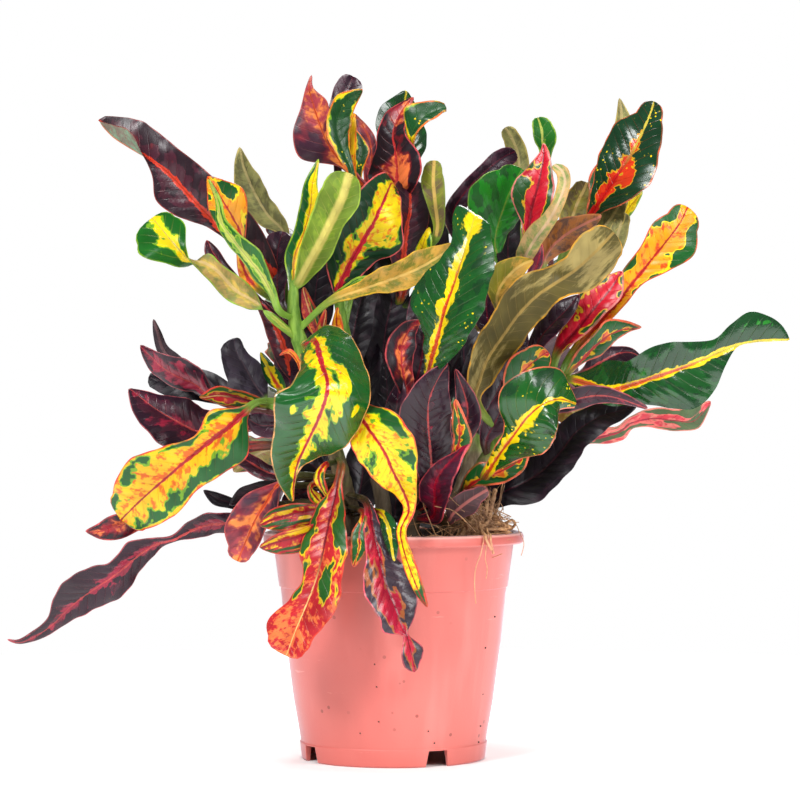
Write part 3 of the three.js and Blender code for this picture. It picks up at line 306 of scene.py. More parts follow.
bpy.ops.object.transform_apply(location=True, rotation=True, scale=True)
bpy.ops.object.mode_set(mode="EDIT")
bpy.ops.mesh.select_mode(type="EDGE")
bpy.ops.mesh.select_all(action="SELECT")
bpy.ops.mesh.region_to_loop()
for start, end in zip(POT_PROFILE, POT_PROFILE[1:]):
    ring_to(start, end)
bpy.ops.mesh.edge_face_add()
bpy.ops.mesh.select_all(action="SELECT")
bpy.ops.mesh.remove_doubles(threshold=0.00001)
bpy.ops.mesh.normals_make_consistent(inside=False)
bpy.ops.object.mode_set(mode="OBJECT")

for angle in NOTCH_ANGLES:
    turn = math.radians(angle)
    bpy.ops.object.select_all(action="DESELECT")
    bpy.ops.mesh.primitive_cube_add(size=1, location=(0, 0, 0))
    cutter = start_piece("notch_cutter")
    for corner in cutter.data.vertices:
        low = corner.co.z < 0
        wide = NOTCH_WIDTH / 2 + (NOTCH_FLARE if low else 0)
        side = math.copysign(wide, corner.co.x)
        deep = -FOOT_RADIUS + math.copysign(NOTCH_DEPTH, corner.co.y)
        up = -1 if low else NOTCH_HEIGHT
        out = Vector((side, deep, up)) * MM
        corner.co = (
            out.x * math.cos(turn) - out.y * math.sin(turn),
            out.x * math.sin(turn) + out.y * math.cos(turn),
            out.z,
        )
    cut = pot.modifiers.new("notch", "BOOLEAN")
    cut.operation = "DIFFERENCE"
    cut.object = cutter
    cut.solver = "EXACT"
    apply_all(pot)
    bpy.data.objects.remove(cutter)

edges = pot.modifiers.new("moulded_edges", "BEVEL")
edges.limit_method = "ANGLE"
edges.angle_limit = math.radians(SHARP)
edges.width = MOULD_EDGE * MM
edges.segments = 2
apply_all(pot)
bpy.ops.object.select_all(action="DESELECT")
pot.select_set(True)
bpy.ops.object.shade_smooth_by_angle(angle=math.radians(SHARP))

plastic = Finish("salmon_polypropylene")
here = plastic.place()
cloud = plastic.noise(here, 14.0, 3.0)
streak = plastic.noise(plastic.stretch(here, (60, 60, 6)), 1.0, 3.0)
scuff = plastic.noise(plastic.stretch(here, (30, 30, 260)), 1.0, 4.0, 0.7)
speck = plastic.cells(here, 120.0)
dusty = plastic.noise(here, 26.0, 2.0)
height = plastic.height()
colour = plastic.mix(plastic.step(cloud, 0.35, 0.65), (204, 101, 93), (215, 114, 105))
colour = plastic.mix(plastic.step(streak, 0.5, 0.75, 0, 0.5), colour, (228, 134, 126))
# Painted shade: the upper wall turns darker, for the shadow that the leaves above cast on it.
colour = plastic.mix(plastic.step(height, 0.055, 0.1, 0, 0.45), colour, (196, 96, 87))
# Painted highlight: a pale line along the top of the lip, where the plastic is also a little
# scuffed.
colour = plastic.mix(plastic.step(height, 0.1112, 0.1126, 0, 0.75), colour, (252, 192, 180))
# Painted shade: the wall darkens toward the bottom of the foot, where it meets the floor.
colour = plastic.mix(plastic.step(height, 0.0, 0.02, 0.35, 0.0), colour, (196, 94, 84))
colour = plastic.mix(plastic.step(scuff, 0.66, 0.74, 0, 0.3), colour, (248, 180, 168))
dots = plastic.step(speck, 0.09, 0.12, 0.8, 0.0)
dots = plastic.times(dots, plastic.step(dusty, 0.45, 0.6))
colour = plastic.mix(dots, colour, (150, 72, 64))
shine = plastic.step(cloud, 0.3, 0.7, 0.38, 0.5)
plastic.set(
    Base_Color=colour,
    Roughness=shine,
    Sheen_Weight=0.8,
    Sheen_Roughness=0.3,
    Sheen_Tint=srgb(236, 236, 255),
)
plastic.bump(plastic.plus(plastic.noise(here, 900.0, 1.0), scuff), 0.00006, 0.6)
dress(pot, plastic)
keep(pot, "pot")

# Crumbs on the pot
# Grains of damp peat that stuck to the plastic when the pot was filled.
# They are lumps about a millimetre across, held by nothing but dried water.
CRUMBS = [  # across and up the front, and the radius
    (-8, 40, 0.5), (-9, 51, 0.45), (45, 57, 0.6), (50, 72, 0.5), (17, 18, 0.5), (-7, 23, 0.45),
    (-16, 17, 0.5), (43, 18, 0.45), (42, 10, 0.6), (44, 34, 0.5), (20, 12, 0.5),
]
CRUMB_LUMPS = 1400
CRUMB_LEAST = 0.75
CRUMB_UNEVEN = 0.5


def join(pieces, name):
    bpy.ops.object.select_all(action="DESELECT")
    for piece in pieces:
        piece.select_set(True)
    bpy.context.view_layer.objects.active = pieces[0]
    bpy.ops.object.join()
    return start_piece(name)


peat = Finish("damp_peat")
here = peat.place()
clod = peat.noise(here, 160.0, 5.0, 0.65)
fibre = peat.noise(peat.stretch(here, (700, 90, 300)), 1.0, 3.0)
colour = peat.mix(peat.step(clod, 0.3, 0.7), (24, 18, 17), (66, 50, 43))
colour = peat.mix(peat.step(fibre, 0.62, 0.72, 0, 0.7), colour, (122, 92, 66))
peat.set(Base_Color=colour, Roughness=peat.step(clod, 0.3, 0.7, 0.95, 0.7))
peat.bump(clod, 0.0012)

grains = []
for across, up, wide in CRUMBS:
    out = wall_radius(up)
    deep = -math.sqrt(out * out - across * across)
    bpy.ops.mesh.primitive_ico_sphere_add(
        subdivisions=2, radius=wide * MM, location=(across * MM, deep * MM, up * MM)
    )
    grain = start_piece("grain")
    for corner in grain.data.vertices:
        spot = corner.co * CRUMB_LUMPS + Vector((across, up, 0))
        corner.co *= CRUMB_LEAST + CRUMB_UNEVEN * noise.noise(spot)
    bpy.ops.object.transform_apply(location=True, rotation=True, scale=True)
    grains.append(grain)
crumbs = join(grains, "crumbs_on_pot")
dress(crumbs, peat)
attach(crumbs, "root")

# Potting soil
# Damp peat with bark and root hairs, heaped in the middle and pressed round the stems.
# It is poured in to 8 mm under the lip at its edge, and loose crumbs lie on top.
GAP = 0.4
SOIL_EDGE_Z = 105
SOIL_MIDDLE_Z = 113
SOIL_SWELL = 0.6
SOIL_LUMP = 1.5
SOIL_LUMP_SCALE = 0.13
SOIL_SIDES = 96
SOIL_RINGS = 22
LOOSE_CRUMBS = 340
LOOSE_RADIUS = 0.5
LOOSE_RADIUS_MORE = 1.3
LOOSE_WITHIN = SHOULDER_RADIUS - 4
LOOSE_SUNK = 0.3
LOOSE_LONG = 1.4
LOOSE_UNEVEN = 0.5


def soil_top(x, y):
    """The height of the soil in millimetres, lumps and all."""
    share = math.hypot(x, y) / (SHOULDER_RADIUS - WALL)
    turn = math.atan2(y, x)
    heap = SOIL_EDGE_Z + (SOIL_MIDDLE_Z - SOIL_EDGE_Z) * (1 - share * share)
    # Two slow swells wind round the heap, and finer lumps lie on them.
    slow = 0.7 * math.sin(3 * turn + 18 * share) + 0.6 * math.sin(7 * turn + 41 * share)
    fine = noise.fractal(Vector((x, y, 3)) * SOIL_LUMP_SCALE, 0.9, 2.1, 5) * SOIL_LUMP
    return heap + SOIL_SWELL * slow + fine


soil_radius = wall_radius(SOIL_EDGE_Z) - WALL - GAP
bottom_radius = INNER_FOOT_RADIUS - GAP
bottom = FLOOR_TOP + GAP
bpy.ops.object.select_all(action="DESELECT")
bpy.ops.mesh.primitive_cone_add(
    vertices=SOIL_SIDES,
    radius1=bottom_radius * MM,
    radius2=soil_radius * MM,
    depth=(SOIL_EDGE_Z - bottom) * MM,
    location=(0, 0, (SOIL_EDGE_Z + bottom) / 2 * MM),
)
bpy.ops.object.transform_apply(location=True, rotation=True, scale=True)
soil = start_piece("potting_soil")
bpy.ops.object.mode_set(mode="EDIT")
bpy.ops.mesh.select_mode(type="FACE")
bpy.ops.mesh.select_all(action="DESELECT")
bpy.ops.object.mode_set(mode="OBJECT")
for face in soil.data.polygons:
    face.select = face.normal.z > 0.9
bpy.ops.object.mode_set(mode="EDIT")
for _ in range(SOIL_RINGS):
    bpy.ops.mesh.inset(thickness=soil_radius / (SOIL_RINGS + 1) * MM)
bpy.ops.mesh.poke()
bpy.ops.object.mode_set(mode="OBJECT")
for corner in soil.data.vertices:
    out = math.hypot(corner.co.x, corner.co.y) / MM
    if corner.co.z > (SOIL_EDGE_Z - 1) * MM and out < soil_radius - 0.5:
        corner.co.z = soil_top(corner.co.x / MM, corner.co.y / MM) * MM
bpy.ops.object.shade_smooth()
dress(soil, peat)
keep(soil, "soil")

dice = np.random.default_rng(11)
grains = []
for _ in range(LOOSE_CRUMBS):
    out = LOOSE_WITHIN * math.sqrt(dice.random())
    turn = dice.random() * 2 * math.pi
    x = out * math.cos(turn)
    y = out * math.sin(turn)
    wide = LOOSE_RADIUS + LOOSE_RADIUS_MORE * dice.random() ** 2
    bpy.ops.mesh.primitive_ico_sphere_add(
        subdivisions=1,
        radius=wide * MM,
        location=(x * MM, y * MM, (soil_top(x, y) + LOOSE_SUNK * wide) * MM),
        rotation=tuple(dice.random(3) * 6),
    )
    grain = start_piece("grain")
    long = 1 + LOOSE_LONG * dice.random()
    for corner in grain.data.vertices:
        corner.co.x *= long
        corner.co *= 0.8 + LOOSE_UNEVEN * dice.random()
    grains.append(grain)
crumbs = join(grains, "loose_crumbs")
bpy.ops.object.transform_apply(location=True, rotation=True, scale=True)
dress(crumbs, peat)
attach(crumbs, "root")

# Surface roots
# A knot of dry, fibrous roots that has grown up out of the soil beside the front right stem.
# Two strands and three hairs hang over the lip, and hair roots run out of the knot all round.
STRANDS = [  # radius, then points
    [1.6, [31, -28, 110.8], [36, -32, 115], [44, -34, 118], [52, -31, 118], [57.5, -24, 115.6]],
    [1.3, [33, -37, 108.5], [39, -38, 114], [46, -36, 119], [48, -31, 126], [50, -28, 135]],
    [1.4, [54, -14, 107.7], [54, -22, 116], [50, -30, 119.5], [43, -35, 117], [36, -38, 108]],
    [1.1, [40, -26, 109.6], [43, -31, 116], [45, -34, 122], [46, -31, 129], [47, -27, 134]],
    [1.2, [55, -30, 115.2], [51, -34, 115.8], [44, -38, 115.5], [37, -36, 117], [31, -36, 109.1]],
    [0.8, [42, -36, 117], [43, -43, 115], [43.2, -44.6, 114.15], [44.5, -48.6, 113.3],
     [45, -49.6, 111], [47.5, -50.5, 106]],
    [0.7, [46, -33, 117], [45.5, -41, 115.4], [46, -42.5, 114.1], [47, -46.5, 113.2],
     [47.2, -47.8, 110], [48.5, -48.2, 104]],
    [0.8, [54, -24, 117], [58, -24, 119.5], [60, -22, 117.5], [58, -17, 114.6]],
    [0.7, [13, -38, 110.3], [20, -39, 112.5], [28, -37, 110.6], [36, -38, 111.5]],
]
HANGING_HAIRS = [  # radius, then points, down the outside of the pot
    [0.3, [43, -44, 114.6], [44, -48.5, 113.6], [42.5, -50.5, 105], [40, -50.5, 98],
     [39.3, -48.5, 90], [40, -46.5, 80]],
    [0.25, [45, -44, 114.4], [46, -48, 113.5], [44.5, -49, 103], [45.5, -47, 97], [45, -44.5, 92]],
    [0.2, [56, -24, 118], [60, -24, 117.5], [62, -25, 113.6], [64.2, -24, 108], [63, -22, 102]],
]
ROOT_BALL = (38, -33, 117.5)
ROOT_BALL_RADIUS = 5
BALL_LUMP = 0.35
BALL_LUMP_SCALE = 420
STRAND_SHARE = 0.85  # of the given radius, swelling and thinning by the next
STRAND_SWELL = 0.18
KNOT = (46, -31, 117)
KNOT_SPREAD = (6, 4.5, 3)
HAIR_ROOTS = 380
HAIR_BENDS = 4
HAIR_WAYS = (1, 0.8, 0.55)
HAIR_RISE = 0.7  # hairs above the middle of the knot climb, and those below it fall
HAIR_FALL = 0.4
HAIR_ONWARD = 0.75
HAIR_WANDER = 0.6
HAIR_STEP = 2.4
HAIR_STEP_MORE = 2.2
HAIR_RADIUS = 0.14
HAIR_RADIUS_MORE = 0.26
STRAY_EVERY = 6  # one hair in so many lies away from the knot, here on the soil
STRAY = (24, -40)
STRAY_SPREAD = (9, 3)
INSIDE_LIP = 57


def smooth_path(points, steps):
    """Points along a smooth curve through the given ones, with any radius carried along."""
    points = np.array(points, float)
    last = len(points) - 1
    found = []
    for mark in np.linspace(0, last, last * steps + 1):
        i = min(int(mark), last - 1)
        found.append(blend(points, i, mark - i))
    return np.array(found)


def blend(values, i, t):
    """The value at share t between values i and i + 1, on a smooth curve through all of them."""
    last = len(values) - 1
    a, b, c, d = (values[min(max(n, 0), last)] for n in (i - 1, i, i + 1, i + 2))
    return (
        (2 * t**3 - 3 * t**2 + 1) * b
        + (t**3 - 2 * t**2 + t) * (c - a) / 2
        + (3 * t**2 - 2 * t**3) * c
        + (t**3 - t**2) * (d - b) / 2
    )


def tube(name, path, radii, roundness=3):
    """A round closed tube along points in millimetres."""
    bpy.ops.curve.primitive_nurbs_path_add()
    curve = bpy.context.object
    curve.data.splines.clear()
    line = curve.data.splines.new("POLY")
    line.points.add(len(path) - 1)
    for point, place, radius in zip(line.points, path, radii):
        point.co = (*(np.array(place) * MM), 1)
        point.radius = radius
    curve.data.dimensions = "3D"
    curve.data.bevel_depth = MM
    curve.data.bevel_resolution = roundness
    curve.data.use_fill_caps = True
    bpy.ops.object.convert(target="MESH")
    return start_piece(name)


fibres = []
for radius, *points in STRANDS:
    path = smooth_path(points, 8)
    swells = [1 + STRAND_SWELL * math.sin(2.3 * i) for i in range(len(path))]
    radii = [STRAND_SHARE * radius * swell for swell in swells]
    fibres.append(tube("strand", path, radii, 2))
for radius, *points in HANGING_HAIRS:
    path = smooth_path(points, 6)
    fibres.append(tube("hair", path, [radius] * len(path), 1))
dice = np.random.default_rng(5)
for number in range(HAIR_ROOTS):
    start = KNOT + dice.normal(0, 1, 3) * KNOT_SPREAD
    if number % STRAY_EVERY == 0:
        start[:2] = STRAY + dice.normal(0, 1, 2) * STRAY_SPREAD
        start[2] = soil_top(start[0], start[1]) + 1.5
    way = dice.normal(0, 1, 3) * HAIR_WAYS
    way[2] = abs(way[2]) * HAIR_RISE if start[2] > KNOT[2] else -abs(way[2]) * HAIR_FALL
    points = [start]
    for _ in range(HAIR_BENDS):
        way = HAIR_ONWARD * way + HAIR_WANDER * dice.normal(0, 1, 3)
        following = points[-1] + way * (HAIR_STEP + HAIR_STEP_MORE * dice.random())
        on_soil = soil_top(following[0], following[1]) + GAP
        following[2] = max(following[2], on_soil)
        out = math.hypot(following[0], following[1])
        if out > INSIDE_LIP:
            following[:2] *= INSIDE_LIP / out
        points.append(following)
    path = smooth_path(points, 3)
    thick = HAIR_RADIUS + HAIR_RADIUS_MORE * dice.random() ** 2
    taper = np.linspace(thick, 0.5 * thick, len(path))
    fibres.append(tube("hair", path, taper, 1))
bpy.ops.mesh.primitive_ico_sphere_add(
    subdivisions=4, radius=ROOT_BALL_RADIUS * MM, location=tuple(v * MM for v in ROOT_BALL)
)
ball = start_piece("ball")
for corner in ball.data.vertices:
    corner.co *= 1 + BALL_LUMP * noise.fractal(corner.co * BALL_LUMP_SCALE, 0.8, 2.2, 4)
fibres.append(ball)
roots = join(fibres, "surface_roots")
bpy.ops.object.transform_apply(location=True, rotation=True, scale=True)
bpy.ops.object.shade_smooth()
dry = Finish("dry_root_fibre")
here = dry.place()
grain = dry.noise(here, 420.0, 4.0, 0.6)
tone = dry.noise(here, 60.0, 2.0)
colour = dry.mix(dry.step(grain, 0.3, 0.7), (132, 92, 60), (214, 166, 116))
colour = dry.mix(dry.step(tone, 0.45, 0.66, 0, 0.6), colour, (100, 70, 56))
colour = dry.mix(dry.step(dry.height(), 0.108, 0.1145, 0.7, 0), colour, (226, 158, 128))
dry.set(Base_Color=colour, Roughness=dry.step(grain, 0.3, 0.7, 0.9, 0.7))
dry.bump(grain, 0.0004)
dress(roots, dry)
keep(roots, "roots")

# Front left leafy stem
# The biggest shoot: a woody croton stem that forks, rooted in the soil, green above, brown below.
# Its leaves grow out of it on short stalks, each twisted, waved and mottled in its own way.
SPREAD_FROM_Z = 112  # the crown is deeper the higher it is, from here up
SPREAD_FULL_Z = 190
SPREAD = 1.9
ROLL = 0.8  # the most that a leaf is turned about its rib, as a slope
ROLL_STEP = 2.4
ROLL_LETTER = 1.7
FOLD = 0.16  # the slope at which the halves of a blade fold up
PETIOLE_START = 1.6
PETIOLE = 1.9
PETIOLE_THICK = 1.1
PETIOLE_ROUND = 0.94
TIP_SHARE = 0.3
BLADE = 0.7
BLADE_EDGE = 0.35
STALK_HALF = 2  # a leaf is a round stalk up to this half width, and a flat blade from the next
BLADE_HALF = 5
WAVE = 1.1
WAVE_LENGTH = 24
FULL_WAVE_HALF = 10
RUFFLE = 0.4
RUFFLE_LENGTH = 9.5
ARCH = 0.08
QUILT = 0.38
VEIN_GAP = 5.5
VEIN_SLANT = 0.8
RIB_RIDGE = 0.45  # under the blade, and a share of it dents the upper side
RIB_DENT = 0.5
RIB_RIDGE_HALF = 0.9
RIB_TAPER = 0.7
STALK_TONE_HALF = 3.4  # the stalk's colour fades out as a leaf widens to this
STALK_TONE_FADE = 1.4
STALK_TONE_END = 0.45
ROW_STEP = 1.5
COLUMN_STEP = 1.5
FEWEST_COLUMNS = 8
MOST_COLUMNS = 26
LEAF_SHARP = 55
SMALL_LEAF = 40
STEM_SIDES = 3
STEM_STEPS = 12
NODE_GAP = 7
NODE_SWELL = 0.07
NODE_SHARP = 9
STEM_TIP = (0.92, 0.7, 0.3)
LEAF_SEED = 3.1
FAR_SEED = 2.7
FIRST_FAR_SEED = 0.4


def spread(z):
    """How much further from the middle plane a thing lies at a height."""
    t = min(max((z - SPREAD_FROM_Z) / (SPREAD_FULL_Z - SPREAD_FROM_Z), 0), 1)
    return 1 + (SPREAD - 1) * t * t * (3 - 2 * t)


def seen(x, z, depth):
    """The place at that depth which the eye sees at x and z of the middle plane."""
    scale = (EYE_DISTANCE + depth) / EYE_DISTANCE
    return np.array([EYE_X + (x - EYE_X) * scale, depth, EYE_Z + (z - EYE_Z) * scale])


def axis_point(branches, z, near=None):
    """The point of a stem's axis at a height, on the branch that comes nearest to a place."""
    best = None
    for branch in branches:
        for a, b in zip(branch, branch[1:]):
            if not min(a[2], b[2]) <= z <= max(a[2], b[2]):
                continue
            t = (z - a[2]) / (b[2] - a[2])
            found = np.array([a[0] + t * (b[0] - a[0]), a[1] + t * (b[1] - a[1]), z])
            first = near is None or best is None
            if first or np.linalg.norm(found - near) < np.linalg.norm(best - near):
                best = found
    return best


def unit(vector):
    return vector / (np.linalg.norm(vector) or 1)


def near_stations(branches, key, height, side, flat):
    """Rib points of a leaf that shows in front, and the way out to its left and right edges."""
    more = [spread(s[1]) for s in flat]
    ribs = [seen(s[0], s[1], s[2] * m) for s, m in zip(flat, more)]
    turned = int(key[1:]) + ROLL_LETTER * ord(key[0])
    roll = ROLL * math.sin(ROLL_STEP * turned)
    start = axis_point(branches, height, ribs[0])
    found = []
    for i, s in enumerate(flat):
        before = ribs[i - 1] if i else start
        after = ribs[min(i + 1, len(ribs) - 1)]
        dx = after[0] - before[0]
        dz = after[2] - before[2]
        run = math.hypot(dx, dz) or 1
        scale = (EYE_DISTANCE + s[2] * more[i]) / EYE_DISTANCE
        left = np.array([-dz / run, roll - side * FOLD, dx / run]) * s[3] * scale
        right = np.array([dz / run, -roll - side * FOLD, -dx / run]) * s[4] * scale
        if len(s) > 5:
            left[1] += s[5] * more[i]
            right[1] += s[6] * more[i]
        found.append((ribs[i], left, right))
    _, left, right = found[0]
    found.insert(0, (start, unit(left) * PETIOLE_START, unit(right) * PETIOLE_START))
    return [np.array(part) for part in zip(*found)]


def leaf_rows(stations, round_tip):
    """The stations' ribs and edges, filled in on smooth curves to rows about ROW_STEP apart."""
    ribs, lefts, rights = stations
    last = len(ribs) - 1
    rows = []
    for i in range(last):
        steps = max(2, round(np.linalg.norm(ribs[i + 1] - ribs[i]) / ROW_STEP))
        for k in range(steps):
            t = k / steps
            tip = round_tip and i == last - 1
            if tip:
                t = math.sin(t * math.pi / 2)
            row = [blend(part, i, t) for part in (ribs, lefts, rights)]
            if tip:
                narrow = math.sqrt(1 - t * t)
                row[1:] = [lefts[i] * narrow, rights[i] * narrow]
            rows.append(row)
    rows.append([ribs[last], lefts[last] * TIP_SHARE, rights[last] * TIP_SHARE])
    return [np.array(part) for part in zip(*rows)]


def tell(piece, key, values):
    """Keeps a number for each corner of a mesh, for its material to read."""
    layer = piece.data.attributes.new(key, "FLOAT", "POINT")
    layer.data.foreach_set("value", values.astype(np.float32).reshape(-1))


def leaf(name, stations, side, round_tip, seed, painted=()):
    """One leaf as a closed blade with a raised midrib, on a grid rolled round it."""
    rib, left, right = leaf_rows(stations, round_tip)
    count = len(rib)
    along = np.gradient(rib, axis=0)
    along /= np.linalg.norm(along, axis=1)[:, None]
    across = left - right
    normal = np.cross(along, across)
    normal /= np.linalg.norm(normal, axis=1)[:, None]
    normal = normal[:, None, :]
    wide = np.linalg.norm(across, axis=1) / 2
    columns = min(max(2 * wide.max() / COLUMN_STEP, FEWEST_COLUMNS), MOST_COLUMNS)
    u = np.linspace(-1, 1, int(columns) // 2 * 2 + 1)
    on_left = u < 0
    flat = np.abs(u)
    wide = wide[:, None]
    steps = np.linalg.norm(np.diff(rib, axis=0), axis=1)
    reach = np.concatenate([[0], np.cumsum(steps)])[:, None]
    progress = reach / reach[-1]
    reaches = [np.linalg.norm(part, axis=1)[:, None] for part in (left, right)]
    half = np.where(on_left, *reaches)
    out = flat * half
    way = np.where(on_left[:, None], left[:, None, :], right[:, None, :]) * flat[:, None]

    # The margin waves, and the blade swells between its side veins.
    size = np.minimum(wide / FULL_WAVE_HALF, 1)
    phase = 2 * np.pi * reach / WAVE_LENGTH
    sway = WAVE * size * flat**1.5 * np.where(on_left, np.sin(phase), np.cos(phase))
    frill = 2 * np.pi * reach / RUFFLE_LENGTH + seed + on_left * 2
    sway += RUFFLE * size * flat**4 * np.sin(frill)
    bay = 2 * np.pi * (reach - VEIN_SLANT * out) / VEIN_GAP
    swell = QUILT * size * np.sin(np.pi * flat**0.7) * np.cos(bay)
    lift = ARCH * half * np.sin(np.pi * flat) + swell
    ends = np.sin(np.pi * np.linspace(0, 1, count)[:, None]) ** 0.5
    sway *= ends
    lift *= ends

    # The round stalk passes into a thin blade with a ridge under its midrib.
    solid = np.clip((wide - STALK_HALF) / (BLADE_HALF - STALK_HALF), 0, 1)
    stalk = np.minimum(PETIOLE, PETIOLE_THICK * wide) * np.sqrt(1 - PETIOLE_ROUND * u**2)
    thick = (1 - solid) * stalk + solid * (BLADE + (BLADE_EDGE - BLADE) * flat**2)
    taper = 1 - RIB_TAPER * reach / reach[-1]
    ridge = solid * RIB_RIDGE * taper * np.exp(-((out / RIB_RIDGE_HALF) ** 2))
    middle = rib[:, None, :] + way + normal * (sway + side * lift)[..., None]
    upper = middle + normal * (side * (thick / 2 - RIB_DENT * ridge))[..., None]
    under = middle - normal * (side * (thick / 2 + ridge))[..., None]
    ring = np.concatenate([upper, under[:, ::-1], upper[:, :1]], axis=1) * MM
    bpy.ops.mesh.primitive_grid_add(x_subdivisions=ring.shape[1] - 1, y_subdivisions=count - 1)
    piece = start_piece(name)
    piece.data.vertices.foreach_set("co", ring.reshape(-1))

    # What the material needs to know at each corner, all in millimetres or shares.
    on_stalk = np.clip((STALK_TONE_HALF - wide) / STALK_TONE_FADE, 0, 1)
    told = {
        "rib": u * half,
        "edge": (1 - flat) * half,
        "along": progress,
        "reach": reach,
        "stalk": on_stalk * (np.linspace(0, 1, count)[:, None] < STALK_TONE_END),
        "seed": seed,
        "dark": 0,
        "light": 0,
        "warm": 0,
    }
    for key, at, where, long, broad, amount in painted:
        share = np.exp(-(((progress - at) / long) ** 2) - ((u - where) / broad) ** 2)
        told[key] = told[key] + amount * share
    for key, values in told.items():
        values = np.broadcast_to(values, out.shape)
        tell(piece, key, np.concatenate([values, values[:, ::-1], values[:, :1]], axis=1))
    faces = [np.zeros(out.shape), np.ones(out.shape), np.zeros((count, 1))]
    tell(piece, "under", np.concatenate(faces, axis=1))

    # The grid's two long edges are merged, and its ends closed.
    bpy.ops.object.mode_set(mode="EDIT")
    bpy.ops.mesh.select_mode(type="VERT")
    bpy.ops.mesh.select_all(action="SELECT")
    bpy.ops.mesh.remove_doubles(threshold=0.000001)
    bpy.ops.mesh.select_all(action="DESELECT")
    bpy.ops.mesh.select_non_manifold(extend=False)
    bpy.ops.mesh.fill_holes(sides=0)
    bpy.ops.mesh.select_all(action="SELECT")
    bpy.ops.mesh.normals_make_consistent(inside=False)
    bpy.ops.object.mode_set(mode="OBJECT")
    bpy.ops.object.shade_smooth_by_angle(angle=math.radians(LEAF_SHARP))
    return piece


FINISHES = {}  # the finish of each look, by name


